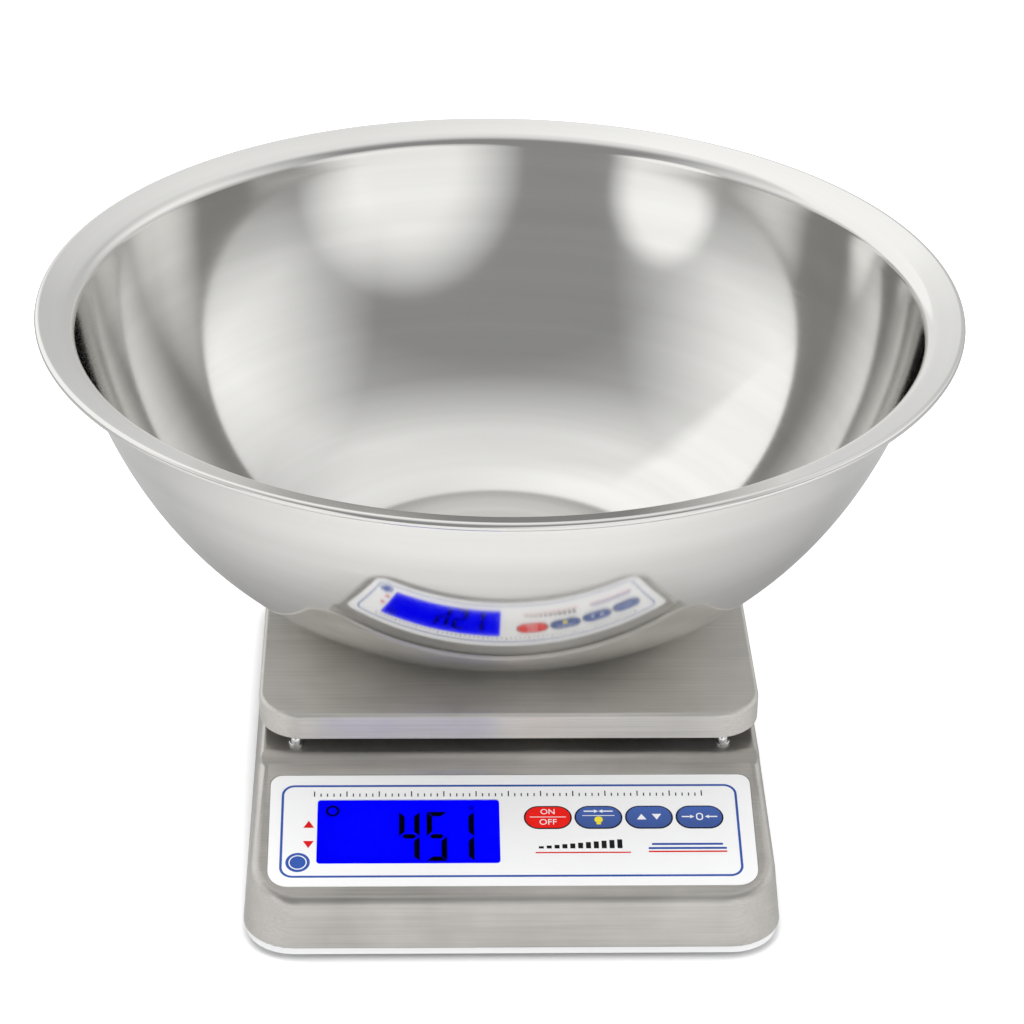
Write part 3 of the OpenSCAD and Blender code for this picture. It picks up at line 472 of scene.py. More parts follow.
steelLooks = {
    "pan_steel": {"lines": 1300.0, "stretch": 70.0, "clouds": 22.0, "fineTone": 0.5, "coarseTone": 0.3,
                  "cloudTone": 0.3, "dark": (0.5, 0.482, 0.455), "light": (0.9, 0.873, 0.83), "rough": 0.34,
                  "roughSpread": 0.1, "cloudSpread": 0.05, "smear": 0.78, "depth": 0.002, "coarseDepth": 0.8,
                  "metal": 0.8},
    "housing_steel": {"lines": 1300.0, "stretch": 70.0, "clouds": 26.0, "fineTone": 0.45, "coarseTone": 0.3,
                      "cloudTone": 0.35, "dark": (0.42, 0.404, 0.38), "light": (0.80, 0.775, 0.735), "rough": 0.28,
                      "roughSpread": 0.1, "cloudSpread": 0.06, "smear": 0.65, "depth": 0.002, "coarseDepth": 0.8,
                      "metal": 0.95},
}
polishLooks = {
    "bowl_steel": {"rings": 1400.0, "clouds": 8.0, "dark": (0.76, 0.755, 0.735), "light": (0.82, 0.815, 0.795),
                   "rough": 0.05, "roughSpread": 0.03, "ringRough": 0.05, "smear": 0.35, "depth": 0.0004,
                   "bandDepth": 4.0},
    "bright_steel": {"rings": 3000.0, "clouds": 200.0, "dark": (0.86, 0.86, 0.86), "light": (0.94, 0.94, 0.94),
                     "rough": 0.16, "roughSpread": 0.06, "ringRough": 0.05, "smear": 0.0, "depth": 0.001,
                     "bandDepth": 2.0},
}
grainLooks = {
    "bolt_steel": {"dark": (0.36, 0.36, 0.37), "light": (0.5, 0.5, 0.51), "rough": 0.28, "grain": 3000.0,
                   "depth": 0.01, "own": {"metal": 1.0}},
    "cell_aluminium": {"dark": (0.62, 0.63, 0.64), "light": (0.72, 0.73, 0.74), "rough": 0.3, "grain": 2400.0,
                       "depth": 0.01, "own": {"metal": 1.0}},
    "cast_aluminium": {"dark": (0.46, 0.47, 0.48), "light": (0.58, 0.59, 0.6), "rough": 0.45, "grain": 1100.0,
                       "depth": 0.08, "own": {"metal": 1.0}},
    "black_rubber": {"dark": (0.012, 0.012, 0.013), "light": (0.028, 0.028, 0.03), "rough": 0.62, "grain": 1600.0,
                     "depth": 0.03},
    "cable_sheath": {"dark": (0.012, 0.012, 0.013), "light": (0.03, 0.03, 0.032), "rough": 0.45, "grain": 2200.0,
                     "depth": 0.01},
    "white_plastic": {"dark": (0.925, 0.93, 0.935), "light": (0.95, 0.955, 0.96), "rough": 0.36, "grain": 1500.0,
                      "marks": 18.0, "depth": 0.012},
    "diffuser_plastic": {"dark": (0.8, 0.81, 0.84), "light": (0.86, 0.87, 0.9), "rough": 0.5, "grain": 2000.0,
                         "depth": 0.01},
    "label_film": {"dark": (0.86, 0.862, 0.865), "light": (0.9, 0.902, 0.905), "rough": 0.38, "grain": 2600.0,
                   "marks": 9.0, "depth": 0.008, "own": {"shine": 0.3}},
    "key_red": {"dark": (0.80, 0.006, 0.003), "light": (0.88, 0.009, 0.004), "rough": 0.34, "grain": 2600.0,
                "depth": 0.008, "own": {"shine": 0.25}},
    "switch_black": {"dark": (0.015, 0.015, 0.016), "light": (0.03, 0.03, 0.032), "rough": 0.4, "grain": 2600.0,
                     "depth": 0.01},
    "board_green": {"dark": (0.008, 0.075, 0.03), "light": (0.014, 0.12, 0.045), "rough": 0.3, "grain": 1400.0,
                    "marks": 160.0, "depth": 0.02},
    "connector_nylon": {"dark": (0.72, 0.7, 0.62), "light": (0.8, 0.78, 0.7), "rough": 0.45, "grain": 2000.0,
                        "depth": 0.02},
    "insert_brass": {"dark": (0.62, 0.42, 0.14), "light": (0.78, 0.56, 0.24), "rough": 0.25, "grain": 2400.0,
                     "depth": 0.01, "own": {"metal": 1.0}},
    "contact_plating": {"dark": (0.6, 0.59, 0.56), "light": (0.72, 0.71, 0.68), "rough": 0.2, "grain": 2600.0,
                        "depth": 0.006, "own": {"metal": 1.0}},
    "print_blue": {"dark": (0.03, 0.08, 0.34), "light": (0.04, 0.1, 0.4), "rough": 0.4, "grain": 3000.0,
                   "depth": 0.004, "own": {"shine": 0.12}},
    "print_black": {"dark": (0.006, 0.006, 0.007), "light": (0.014, 0.014, 0.016), "rough": 0.4, "grain": 3000.0,
                    "depth": 0.004, "own": {"shine": 0.12}},
    "print_red": {"dark": (0.62, 0.006, 0.008), "light": (0.72, 0.01, 0.012), "rough": 0.4, "grain": 3000.0,
                  "depth": 0.004, "own": {"shine": 0.12}},
    "print_white": {"dark": (0.84, 0.84, 0.86), "light": (0.9, 0.9, 0.92), "rough": 0.4, "grain": 3000.0,
                    "depth": 0.004, "own": {"shine": 0.2}},
    "print_yellow": {"dark": (0.86, 0.72, 0.03), "light": (0.92, 0.8, 0.06), "rough": 0.4, "grain": 3000.0,
                     "depth": 0.004, "own": {"shine": 0.2}},
    "digit_black": {"dark": (0.0, 0.0, 0.002), "light": (0.001, 0.001, 0.006), "rough": 0.6, "grain": 3000.0,
                    "depth": 0.002, "own": {"shine": 0.0}},
}


displayLook = {"glow": 1.0, "rough": 0.5, "from": -78.0, "to": -60.0, "left": (0.0, 0.0, 0.93),
               "right": (0.0, 0.0, 1.0), "unlit": (0.0, 0.0, 0.02), "grain": 900.0, "marks": 30.0, "marksTone": 0.15}


def displayBlue(look):
    # Lit liquid crystal panel, a little darker towards its left end
    material, tree, shader = newMaterial("display_blue", glow=look["glow"], rough=look["rough"], shine=0.0)
    fade = spread(tree, axesOf(tree, ownPlace(tree))["X"], look["from"] * mm, look["to"] * mm)
    marks = useGroup(tree, grainGroup, Grain=look["grain"], Marks=look["marks"])["Marks"]
    feed(tree, shader, glow=mixed(tree, plus(tree, fade, marks, look["marksTone"]), look["left"], look["right"]))
    shader.inputs["Base Color"].default_value = (*look["unlit"], 1)
    return material


windowLook = {"ior": 1.04, "shine": 0.1, "dark": (0.98, 0.98, 1.0), "light": (1.0, 1.0, 1.0), "rough": 0.005,
              "roughSpread": 0.01, "grain": 500.0, "marks": 30.0}


def windowFilm(look):
    material, tree, shader = newMaterial("window_film", clear=1.0, ior=look["ior"], shine=look["shine"])
    marks = useGroup(tree, grainGroup, Grain=look["grain"], Marks=look["marks"])["Marks"]
    feed(tree, shader, color=mixed(tree, marks, look["dark"], look["light"]),
         rough=plus(tree, look["rough"], marks, look["roughSpread"]))
    return material


keyLook = {"low": 40.0, "high": 45.4, "navy": (0.035, 0.07, 0.22), "blue": (0.06, 0.13, 0.45), "shine": 0.25,
           "rough": 0.32, "roughSpread": 0.06, "grain": 2600.0, "marks": 120.0, "marksTone": 0.12, "depth": 0.008}


def keyBlue(look):
    # Printed blend from mid blue at a key's upper edge to navy at its lower edge
    material, tree, shader = newMaterial("key_blue", shine=look["shine"])
    fade = spread(tree, axesOf(tree, ownPlace(tree))["Z"], look["low"] * mm, look["high"] * mm)
    grain = useGroup(tree, grainGroup, Grain=look["grain"], Marks=look["marks"])
    tone = plus(tree, fade, grain["Marks"], look["marksTone"])
    feed(tree, shader, color=mixed(tree, tone, look["navy"], look["blue"]),
         rough=plus(tree, look["rough"], grain["Marks"], look["roughSpread"]))
    bump(tree, shader, grain["Grain"], look["depth"])
    return material


sleeveLook = {"bandFrom": 37.0, "copper": (0.62, 0.3, 0.12), "dark": (0.02, 0.02, 0.022),
              "light": (0.035, 0.035, 0.04), "rough": 0.25, "roughSpread": 0.1, "grain": 2600.0, "marks": 60.0}


def batterySleeve(look):
    # Dark sleeve with a copper band at each cell's outer end
    material, tree, shader = newMaterial("battery_sleeve")
    fromMiddle = maths(tree, "SUBTRACT", axesOf(tree, ownPlace(tree))["X"], panMiddle.x)
    band = maths(tree, "GREATER_THAN", maths(tree, "ABSOLUTE", fromMiddle), look["bandFrom"] * mm)
    marks = useGroup(tree, grainGroup, Grain=look["grain"], Marks=look["marks"])["Marks"]
    sleeve = mixed(tree, marks, look["dark"], look["light"])
    feed(tree, shader, color=mixed(tree, band, sleeve, look["copper"]), metal=band,
         rough=plus(tree, look["rough"], marks, look["roughSpread"]))
    return material


materials = {name: brushedSteel(name, look) for name, look in steelLooks.items()}
materials.update({name: polishedSteel(name, look) for name, look in polishLooks.items()})
materials.update({name: grained(name, look) for name, look in grainLooks.items()})
materials["display_blue"] = displayBlue(displayLook)
materials["window_film"] = windowFilm(windowLook)
materials["key_blue"] = keyBlue(keyLook)
materials["battery_sleeve"] = batterySleeve(sleeveLook)
print("scale: materials made:", len(materials))


# Bowl: one closed profile from the middle of its flat bottom, out and round the rolled rim, and back inside

bowlShape = {"rimWide": 405.0, "height": 139.0, "footWide": 116.0, "brimWide": 15.5, "brimRise": 18.0,
             "wallAngle": 77.3, "lowCurve": 56.5, "highCurve": 78.0, "seam": 0.05, "bead": 1.75, "sheet": 0.9,
             "corner": 4.0, "standsOn": 71.7, "wallSteps": 56, "cornerSteps": 8, "beadSteps": 22, "turns": 192,
             "sharp": 40}


def heading(degrees):
    return Vector((math.cos(math.radians(degrees)), math.sin(math.radians(degrees))))


def bowlPath(shape):
    wall, brim = heading(shape["wallAngle"]), heading(shape["brimRise"])
    beadMiddle = Vector((shape["rimWide"] / 2 - shape["bead"], shape["height"]))
    lift = shape["bead"] - shape["sheet"] - shape["seam"]       # the brim runs into the top of the rolled rim
    brimEnd = beadMiddle + lift * Vector((-brim.y, brim.x))
    corner = brimEnd - brim * ((brimEnd.x - shape["rimWide"] / 2 + shape["brimWide"]) / brim.x)
    wallTop, brimStart = corner - wall * shape["corner"], corner + brim * shape["corner"]
    foot = Vector((shape["footWide"] / 2, 0))
    low, high = foot + Vector((shape["lowCurve"], 0)), wallTop - wall * shape["highCurve"]
    path = [Vector((0, 0)), foot * 0.5]
    for i in range(shape["wallSteps"] + 1):
        t = i / shape["wallSteps"]
        path.append((1 - t) ** 3 * foot + 3 * (1 - t) ** 2 * t * low + 3 * (1 - t) * t * t * high + t ** 3 * wallTop)
    for i in range(1, shape["cornerSteps"] + 1):
        t = i / shape["cornerSteps"]
        path.append((1 - t) ** 2 * wallTop + 2 * (1 - t) * t * corner + t * t * brimStart)
    return path, beadMiddle, lift


def makeBowl(shape):
    path, beadMiddle, lift = bowlPath(shape)
    inner = []
    for i, point in enumerate(path):
        way = (path[min(i + 1, len(path) - 1)] - path[max(i - 1, 0)]).normalized()
        inner.append(point + shape["sheet"] * Vector((-way.y, way.x)))
    inner[0] = Vector((0, shape["sheet"]))
    rise = math.radians(shape["brimRise"])
    start = math.pi + rise - math.asin(lift / shape["bead"])
    end = 3 * math.pi + rise - math.asin((lift + shape["sheet"]) / shape["bead"])
    angles = [start + (end - start) * i / shape["beadSteps"] for i in range(shape["beadSteps"] + 1)]
    bead = [beadMiddle + shape["bead"] * Vector((math.cos(a), math.sin(a))) for a in angles]
    bowl = spun("bowlShell", path + bead + inner[::-1], shape["turns"], (0, 0, shape["standsOn"]))
    smooth(bowl, shape["sharp"])
    give(bowl, "bowl", materials["bowl_steel"], ["bowl"])


makeBowl(bowlShape)
print("scale: bowl made")


# Pan: a folded square sheet with rounded corners

panShape = {"width": 216.0, "top": 71.7, "skirt": 12.0, "corner": 20.0, "cornerSteps": 16, "roll": 2.0,
            "rollSteps": 8, "sheet": 1.5, "burr": 0.25, "burrSteps": 2, "burrAngle": 60, "sharp": 30}


def makePan(shape):
    middle = panMiddle / mm
    letGo()
    bpy.ops.mesh.primitive_cube_add(
        size=1, location=Vector((middle.x, middle.y, shape["top"] - shape["skirt"] / 2)) * mm,
        scale=Vector((shape["width"], shape["width"], shape["skirt"])) * mm)
    pan = settle(takeName("panShell"))
    edit(pan)
    pick(pan, "FACE", lambda f: f.normal.z < -0.9)
    bpy.ops.mesh.delete(type="FACE")
    pick(pan, "EDGE", lambda e: abs(e.verts[0].co.z - e.verts[1].co.z) > mm)
    bpy.ops.mesh.bevel(offset=shape["corner"] * mm, segments=shape["cornerSteps"], affect="EDGES")
    pick(pan, "EDGE", lambda e: min(v.co.z for v in e.verts) > (shape["top"] - 0.1) * mm)
    bpy.ops.mesh.bevel(offset=shape["roll"] * mm, segments=shape["rollSteps"], affect="EDGES")
    outward(pan)
    useModifier(pan, "SOLIDIFY", thickness=shape["sheet"] * mm, offset=-1.0, use_even_offset=True)
    useModifier(pan, "BEVEL", width=shape["burr"] * mm, segments=shape["burrSteps"], limit_method="ANGLE",
                angle_limit=math.radians(shape["burrAngle"]))
    mapGrinding(pan)
    smooth(pan, shape["sharp"])
    give(pan, "platform", materials["pan_steel"], ["platform_pan"])


makePan(panShape)
print("scale: pan made")


# Overload stops: domed pins, each on its washer

stopShape = {"x": 91.8, "frontY": 102.0, "rearY": 96.0, "wide": 4.6, "high": 4.6, "dome": 2.4, "domeSteps": 6,
             "stem": 2.0, "stemDeep": 8.0, "stemEdge": 0.3, "washer": 0.9, "washerHigh": 1.0, "washerEdge": 0.25,
             "fillet": 0.1, "turns": 40, "sharp": 35}


def stopProfile(shape):
    r, stem, foot, edge = shape["wide"] / 2, shape["stem"], -shape["stemDeep"], shape["stemEdge"]
    rim, face = r + shape["washer"], shape["washerHigh"]
    profile = [(0, foot), (stem - edge, foot), (stem, foot + edge), (stem, 0), (rim, 0),
               (rim, face - shape["washerEdge"]), (rim - shape["washerEdge"], face), (r + shape["fillet"], face),
               (r, face + shape["fillet"])]
    for k in range(shape["domeSteps"]):
        a = math.radians(90 * k / shape["domeSteps"])
        profile.append((r * math.cos(a), shape["high"] - shape["dome"] + shape["dome"] * math.sin(a)))
    return profile + [(0, shape["high"])]


def makeStops(shape):
    middle = panMiddle / mm
    first = spun("stopPin", stopProfile(shape), shape["turns"], (middle.x, middle.y, layout["deck"]))
    places = [(x, y) for x in (-shape["x"], shape["x"]) for y in (-shape["frontY"], shape["rearY"])]
    stops = [placed(copyOf(first, "stopPin"), place) for place in places]
    bpy.data.objects.remove(first)
    stops = joined("stopPins", stops)
    smooth(stops, shape["sharp"])
    give(stops, "base", materials["bright_steel"], ["stop_screws"])


makeStops(stopShape)
print("scale: stops made")


# Printing: each mark is how it is drawn, its sizes, and its place on the panel (across, and up the slope)

def printed(name, ink, marks, layer, middle=(0, 0), body="base"):
    parts = [onPanel(draw(layer=layer, at=(middle[0] + at[0], middle[1] + at[1]), **sizes))
             for draw, sizes, at in marks]
    give(joined(name, parts), body, materials[ink])


# Keys: a domed cap over each switch stem, with its printing placed from the cap's middle

keyShape = {"width": 19.0, "depth": 11.3, "corner": 5.64, "cornerSteps": 20, "firstX": 15.2, "pitch": 21.4,
            "v": 44.2, "low": -1.7, "top": 0.25, "swell": 0.28, "ink": 0.03, "sharp": 35,
            "slots": {"key_power": "key_red", "key_unit": "key_blue", "key_set": "key_blue", "key_tare": "key_blue"}}
keyInk = [
    ("inkPower", "print_white", "key_power", [
        (word, {"text": "ON", "height": 4.0}, (0, 2.75)),
        (word, {"text": "OFF", "height": 4.3}, (0, -2.85)),
        (plate, {"size": (15.2, 0.32)}, (0, 0))]),
    ("inkUnit", "print_white", "key_unit", [
        (arrow, {"long": 4.6}, (-3.0, 3.1)),
        (arrow, {"long": 4.6, "turn": 180}, (3.0, 3.1)),
        (plate, {"size": (13.6, 0.32)}, (0, 0.7))]),
    ("lampUnit", "print_yellow", "key_unit", [
        (plate, {"size": (3.5, 3.3), "corner": 1.6, "steps": 8}, (0, -1.5)),
        (plate, {"size": (1.9, 1.2), "corner": 0.2, "steps": 2}, (0, -3.5))]),
    ("inkSet", "print_white", "key_set", [
        (triangle, {"size": (4.0, 3.0)}, (-3.2, 0)),
        (triangle, {"size": (4.0, 3.0), "turn": 180}, (3.2, 0))]),
    ("inkTare", "print_white", "key_tare", [
        (arrow, {"long": 3.8}, (-4.8, 0)),
        (arrow, {"long": 3.8, "turn": 180}, (4.8, 0)),
        (plate, {"size": (3.0, 3.9), "corner": 1.45, "steps": 8, "stroke": 0.55}, (0, 0))]),
]


def keyMiddle(shape, node):
    return shape["firstX"] + list(shape["slots"]).index(node) * shape["pitch"], shape["v"]


def makeKeys(shape, prints):
    for node, slot in shape["slots"].items():
        plate((shape["width"], shape["depth"]), (shape["low"], shape["top"]), keyMiddle(shape, node),
              shape["corner"], shape["cornerSteps"], swell=shape["swell"])
        cap = onPanel(takeName(node.replace("key_", "cap_")))
        smooth(cap, shape["sharp"])
        give(cap, bodyOf[node], materials[slot], [node])
    layer = (shape["top"], shape["top"] + shape["ink"])
    for name, ink, node, marks in prints:
        printed(name, ink, marks, layer, keyMiddle(shape, node), bodyOf[node])


makeKeys(keyShape, keyInk)
print("scale: keys made")


# The label: its layers from the steel's face, its fixed marks, and the rows of ticks and rising levels

labelLayers = {"label": (-0.1, -0.065), "disc": (-0.065, -0.045)}
labelInk = [
    ("printBlue", "print_blue", "label", [
        (plate, {"size": (193.4, 50.1), "corner": 5.5, "stroke": 1.05}, (-0.6, 37.35)),
        (plate, {"size": (10.2, 10.2), "corner": 5.09, "steps": 12}, (-89.7, 20.4))]),
    ("printWhite", "print_white", "disc", [
        (plate, {"size": (7.6, 7.6), "corner": 3.79, "steps": 12, "stroke": 0.45}, (-89.7, 20.4))]),
    ("printRed", "print_red", "label", [
        (triangle, {"size": (4.6, 3.8)}, (-85.5, 40.9)),
        (triangle, {"size": (4.6, 3.8), "turn": 180}, (-85.5, 30.0)),
        (plate, {"size": (40.0, 0.7)}, (29.5, 25.2)),
        (plate, {"size": (33.0, 0.8)}, (73.4, 25.6))]),
    ("printPins", "print_blue", "label", [
        (plate, {"size": (33.0, 1.1), "corner": 0.5, "steps": 4}, (73.4, 27.4)),
        (plate, {"size": (30.0, 1.1), "corner": 0.5, "steps": 4}, (73.4, 29.6))]),
]
tickRow = {"count": 61, "longEvery": 5, "x": -83.4, "pitch": 2.74, "v": 56.0, "wide": 0.5, "long": 2.9, "short": 1.7}
levelRow = {"count": 11, "x": 12.0, "pitch": 3.3, "v": 27.4, "wide": 2.1, "low": 1.2, "rise": 0.36}
keyRing = {"size": (20.3, 12.6), "corner": 6.29, "steps": 16, "stroke": 0.6}


def rowMark(row, k, tall):
    return plate, {"size": (row["wide"], tall)}, (row["x"] + row["pitch"] * k, row["v"] + tall / 2)


def makePrinting():
    for name, ink, layer, marks in labelInk:
        printed(name, ink, marks, labelLayers[layer])
    ticks = [rowMark(tickRow, k, tickRow["short"] if k % tickRow["longEvery"] else tickRow["long"])
             for k in range(tickRow["count"])]
    levels = [rowMark(levelRow, k, levelRow["low"] + levelRow["rise"] * k) for k in range(levelRow["count"])]
    rings = [(plate, keyRing, keyMiddle(keyShape, node)) for node in keyShape["slots"]]
    printed("printBlack", "print_black", ticks + levels + rings, labelLayers["label"])


# The display: left and right end of each figure with its lit segments, then two small rings

digitShape = {"layer": (-0.69, -0.62), "stroke": 2.35, "gap": 0.16, "bottom": 21.4, "top": 47.9,
              "figures": [(-47.6, -38.9, "bcfg"), (-36.0, -27.4, "acdfg"), (-24.5, -16.0, "bc")],
              "rings": [(plate, {"size": (5.7, 5.9), "corner": 2.84, "steps": 12, "stroke": 0.95}, (-75.6, 48.6)),
                        (plate, {"size": (1.7, 2.0), "corner": 0.8, "steps": 6, "stroke": 0.42}, (-17.1, 50.1))]}


def segments(shape, left, right, lit):
    # Bars with both ends cut at 45 degrees and the long edge outside; the middle one is made of two halves
    thick = shape["stroke"]
    middle, half = (shape["bottom"] + shape["top"]) / 2, (shape["top"] - shape["bottom"]) / 2
    centre, wide, tall = (left + right) / 2, right - left - 2 * shape["gap"], half - 2 * shape["gap"]
    plan = [("a", wide, thick, (centre, shape["top"] - thick / 2), 0),
            ("d", wide, thick, (centre, shape["bottom"] + thick / 2), 180),
            ("b", tall, thick, (right - thick / 2, middle + half / 2), -90),
            ("c", tall, thick, (right - thick / 2, middle - half / 2), -90),
            ("f", tall, thick, (left + thick / 2, middle + half / 2), 90),
            ("g", wide - thick, thick / 2, (centre, middle - thick / 4), 0),
            ("g", wide - thick, thick / 2, (centre, middle + thick / 4), 180)]
    return [(tapered, {"size": (long, deep), "share": 1 - 2 * deep / long, "side": -1, "turn": turn}, at)
            for letter, long, deep, at, turn in plan if letter in lit]


def makeDigits(shape):
    bars = [bar for figure in shape["figures"] for bar in segments(shape, *figure)]
    printed("displayFigures", "digit_black", bars + shape["rings"], shape["layer"])


makePrinting()
makeDigits(digitShape)
print("scale: printing and figures made")


# The other CAD nodes: curved ones are shown by a merged smooth copy, flat ones keep their own mesh

smoothNodes = {
    "top_housing": ("housing_steel", 30), "bottom_tray": ("white_plastic", 30), "housing_seal": ("black_rubber", 30),
    "platform_studs": ("bolt_steel", 35), "platform_pads": ("black_rubber", 35),
    "platform_spider": ("cast_aluminium", 35), "spider_bolts": ("bolt_steel", 35),
    "load_column": ("cast_aluminium", 35), "live_end_bolts": ("bolt_steel", 35), "load_cell": ("cell_aluminium", 35),
    "fixed_end_bolts": ("bolt_steel", 35), "column_boot": ("black_rubber", 40), "housing_screws": ("bolt_steel", 35),
    "chassis_screws": ("bolt_steel", 35), "foot_inserts": ("insert_brass", 35),
    "foot_front_left": ("black_rubber", 35), "foot_front_right": ("black_rubber", 35),
    "foot_rear_left": ("black_rubber", 35), "foot_rear_right": ("black_rubber", 35),
    "front_label": ("label_film", 30), "display_window": ("window_film", 30), "power_inlet": ("switch_black", 35),
    "load_cell_cable": ("cable_sheath", 60), "power_cable": ("cable_sheath", 60),
    "battery_box": ("white_plastic", 30), "battery_cells": ("battery_sleeve", 35),
    "battery_door": ("white_plastic", 30), "door_seal": ("black_rubber", 30),
    "door_screw_left": ("bright_steel", 35), "door_screw_right": ("bright_steel", 35),
    "board_screws": ("bolt_steel", 35), "board_standoffs": ("bolt_steel", 35),
    "battery_contacts": ("contact_plating", 35), "stop_nuts": ("bolt_steel", 30), "inlet_nut": ("bolt_steel", 30),
    "tactile_switches": ("switch_black", 35),
}
flatNodes = {"load_cell_spacer": "bolt_steel", "housing_standoffs": "bolt_steel", "chassis_plate": "bolt_steel",
             "lcd_glass": "display_blue", "lcd_backlight": "diffuser_plastic", "main_board": "board_green",
             "board_connectors": "connector_nylon"}
copyLimits = {"merge": 0.002, "flat": 0.4}      # points this near are merged, and faces this near to level


def smoothCopy(node, finish, sharp, limits):
    piece = copyOf(nodes[node], node + "_skin")
    piece.parent = None
    for key in [key for key in piece.keys() if key.startswith("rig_")]:
        del piece[key]
    edit(piece)
    bpy.ops.mesh.select_all(action="SELECT")
    bpy.ops.mesh.remove_doubles(threshold=limits["merge"] * mm)
    bpy.ops.mesh.dissolve_limited(angle_limit=math.radians(limits["flat"]))
    letGo()
    if finish in steelLooks:
        mapGrinding(piece)
    smooth(piece, sharp)
    give(piece, bodyOf[node], materials[finish], [node])


for node, (finish, sharp) in smoothNodes.items():
    smoothCopy(node, finish, sharp, copyLimits)
for node, finish in flatNodes.items():
    nodes[node].data.materials.clear()
    nodes[node].data.materials.append(materials[finish])
print("scale: nodes finished:", len(smoothNodes) + len(flatNodes))


# Studio, in metres. A pair says where a tone starts and where it is full.

floorLook = {"size": 12.0, "tone": 0.80, "paintedBackShade": 0.52, "frontToBack": (-0.28, 0.03), "seen": 0.7,
             "contact": 0.014, "contactRange": (0.45, 0.9), "rough": 0.9, "shine": 0.1, "grain": 60.0, "marks": 2.0,
             "marksTone": 0.01}


def makeFloor(look):
    # The camera sees pale paper with its cast shadow, plus a glow that fades near the object as a painted contact
    # shadow; steel sees the paper with painted shade, darker towards the back
    letGo()
    bpy.ops.mesh.primitive_plane_add(size=look["size"], location=(0, 0, 0))
    floor = settle(takeName("studioFloor"))
    material, tree, shader = newMaterial("floorPaper", rough=look["rough"], shine=look["shine"])
    grain = useGroup(tree, grainGroup, Grain=look["grain"], Marks=look["marks"])
    # Painted shade: away from the camera the paper's tone falls from front to back
    tone = spread(tree, axesOf(tree, ownPlace(tree))["Y"], *look["frontToBack"], look["tone"], look["paintedBackShade"])
    toCamera = add(tree, "ShaderNodeLightPath").outputs["Is Camera Ray"]
    tone = plus(tree, chosen(tree, toCamera, tone, look["tone"]), grain["Marks"], look["marksTone"])
    feed(tree, shader, color=add(tree, "ShaderNodeCombineColor", {0: tone, 1: tone, 2: tone}).outputs[0])
    # Painted contact shadow: the camera's glow fades where the object stands close
    nearby = add(tree, "ShaderNodeAmbientOcclusion", {"Distance": look["contact"]}, samples=8).outputs["AO"]
    seen = maths(tree, "MULTIPLY", maths(tree, "MULTIPLY", toCamera, look["seen"]),
                 spread(tree, nearby, *look["contactRange"]))
    glow = add(tree, "ShaderNodeEmission", {"Strength": seen})
    both = add(tree, "ShaderNodeAddShader", {0: shader.outputs[0], 1: glow.outputs[0]})
    tree.links.new(both.outputs[0], tree.nodes["Material Output"].inputs["Surface"])
    floor.data.materials.append(material)


roomLook = {"diffuse": 0.76, "frontLow": 0.3, "backLow": 0.64, "frontToBack": (-0.5, 0.2), "ceiling": 0.28,
            "ceilingWay": (0, 0.35, 0.94), "ceilingRange": (0.7, 0.92), "side": 0.45, "sideRange": (0.55, 0.9),
            "sideRise": (0.02, 0.3), "behind": 0.26, "behindRange": (0.3, 0.6), "behindLeft": (0.12, -0.12),
            "most": 1.12}
# Soft boxes that only metal and glass see: where each stands, how wide it is and how bright
softBoxes = {
    "frontRight": {"way": (0.42, -0.9, 0.1), "range": (0.84, 0.97), "glow": 0.75},
    "frontLeft": {"way": (-0.74, -0.66, 0.12), "range": (0.955, 0.985), "glow": 0.75},
    "backLeft": {"way": (-0.62, 0.62, 0.48), "range": (0.86, 0.97), "glow": 0.62},
}


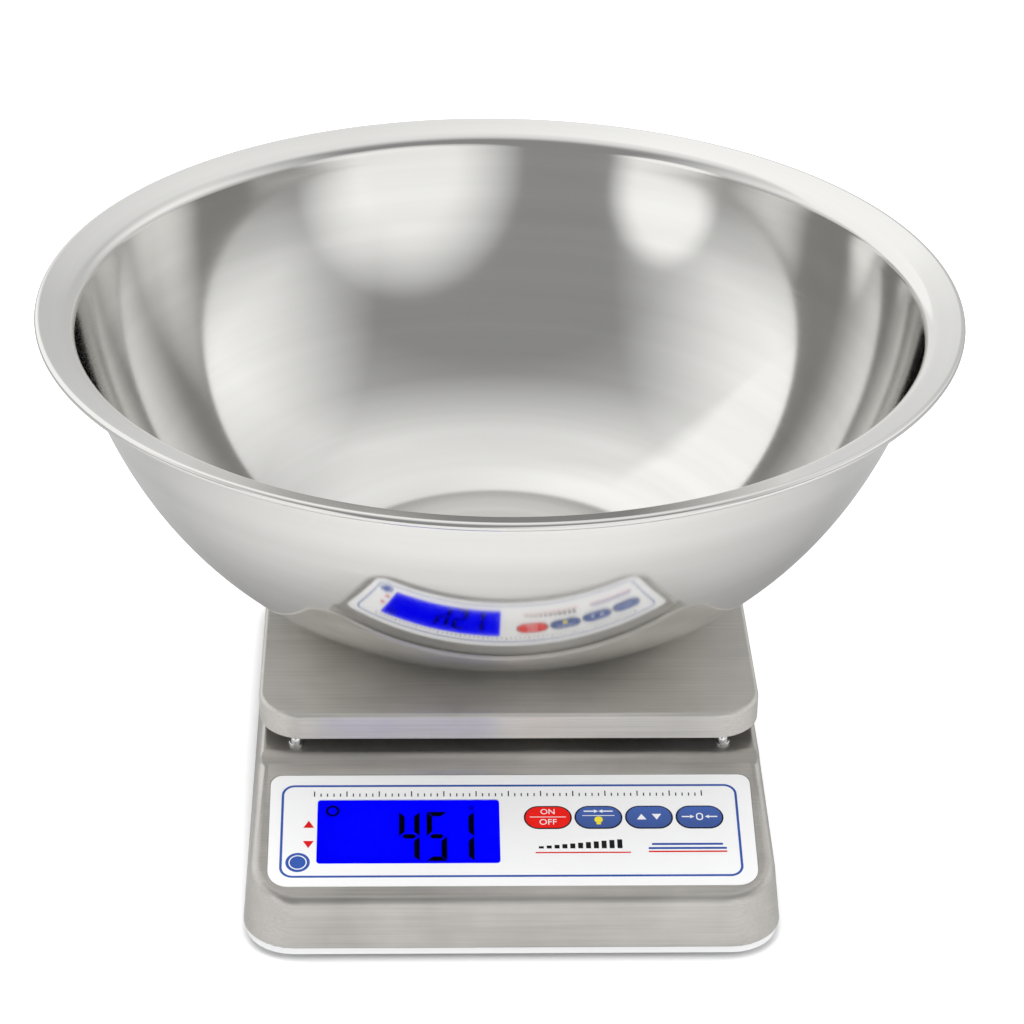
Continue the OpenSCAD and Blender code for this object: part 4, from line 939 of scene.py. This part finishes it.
def makeRoom(look, boxes):
    # White for the camera; metal and glass see a dim horizon, brighter sides, soft boxes and a lit ceiling
    world = bpy.data.worlds.new("studioRoom")
    bpy.context.scene.world = world
    world.use_nodes = True
    tree = world.node_tree
    background = tree.nodes["Background"].inputs
    background["Color"].default_value = (1, 1, 1, 1)
    way = add(tree, "ShaderNodeTexCoord").outputs["Generated"]
    x, y, z = axesOf(tree, way)
    tone = spread(tree, y, *look["frontToBack"], look["frontLow"], look["backLow"])
    overhead = vectorMaths(tree, "DOT_PRODUCT", "Value", way, look["ceilingWay"])
    tone = plus(tree, tone, spread(tree, overhead, *look["ceilingRange"]), look["ceiling"])
    side = maths(tree, "MULTIPLY", spread(tree, maths(tree, "ABSOLUTE", x), *look["sideRange"]),
                 spread(tree, z, *look["sideRise"]))
    tone = plus(tree, tone, side, look["side"])
    behind = maths(tree, "MULTIPLY", spread(tree, y, *look["behindRange"]), spread(tree, x, *look["behindLeft"]))
    tone = plus(tree, tone, behind, look["behind"])
    for box in boxes.values():
        near = vectorMaths(tree, "DOT_PRODUCT", "Value", way, box["way"])
        tone = plus(tree, tone, spread(tree, near, *box["range"]), box["glow"])
    tone = maths(tree, "MINIMUM", tone, look["most"])
    path = add(tree, "ShaderNodeLightPath").outputs
    shiny = maths(tree, "MAXIMUM", path["Is Glossy Ray"], path["Is Transmission Ray"])
    tone = chosen(tree, shiny, look["diffuse"], tone)
    tree.links.new(chosen(tree, path["Is Camera Ray"], tone, 1.0), background["Strength"])


lamps = {
    "overhead": {"place": (-0.25, -0.2, 1.7), "aim": (0, -0.02, 0.08), "size": (1.4, 1.0), "power": 12.0},
    "frontLeft": {"place": (-1.3, -1.3, 1.0), "aim": (0, -0.05, 0.08), "size": (0.9, 1.2), "power": 7.0},
    "frontRight": {"place": (1.35, -0.9, 0.9), "aim": (0, -0.05, 0.08), "size": (0.7, 1.2), "power": 8.0},
}


def makeLamps(plan):
    for name, look in plan.items():
        letGo()
        bpy.ops.object.light_add(type="AREA", location=look["place"])
        lamp = bpy.context.object
        lamp.name = name
        lamp.data.shape = "RECTANGLE"
        lamp.data.size, lamp.data.size_y = look["size"]
        lamp.data.energy = look["power"]
        lamp.visible_glossy = False     # bright metal shows the calm room and not the lamps' edges
        lamp.rotation_euler = (Vector(look["aim"]) - Vector(look["place"])).to_track_quat("-Z", "Y").to_euler()


viewPoint = {"place": (-0.03885, -1.267516, 0.821483), "lens": 112.736, "sensor": 36, "yaw": 0.035887,
             "pitch": 0.515017, "roll": 0.017306, "nearest": 0.01, "farthest": 50}     # angles in radians


def makeCamera(look):
    letGo()
    bpy.ops.object.camera_add(location=look["place"])
    camera = takeName("photoCamera")
    turn = (Matrix.Rotation(-look["yaw"], 3, "Z") @ Matrix.Rotation(math.pi / 2 - look["pitch"], 3, "X")
            @ Matrix.Rotation(look["roll"], 3, "Z"))
    camera.rotation_euler = turn.to_euler()
    camera.data.lens, camera.data.sensor_width = look["lens"], look["sensor"]
    camera.data.clip_start, camera.data.clip_end = look["nearest"], look["farthest"]
    bpy.context.scene.camera = camera


makeFloor(floorLook)
makeRoom(roomLook, softBoxes)
makeLamps(lamps)
makeCamera(viewPoint)
bpy.context.scene.view_settings.view_transform = "Standard"
print("scale: studio made")

letGo()
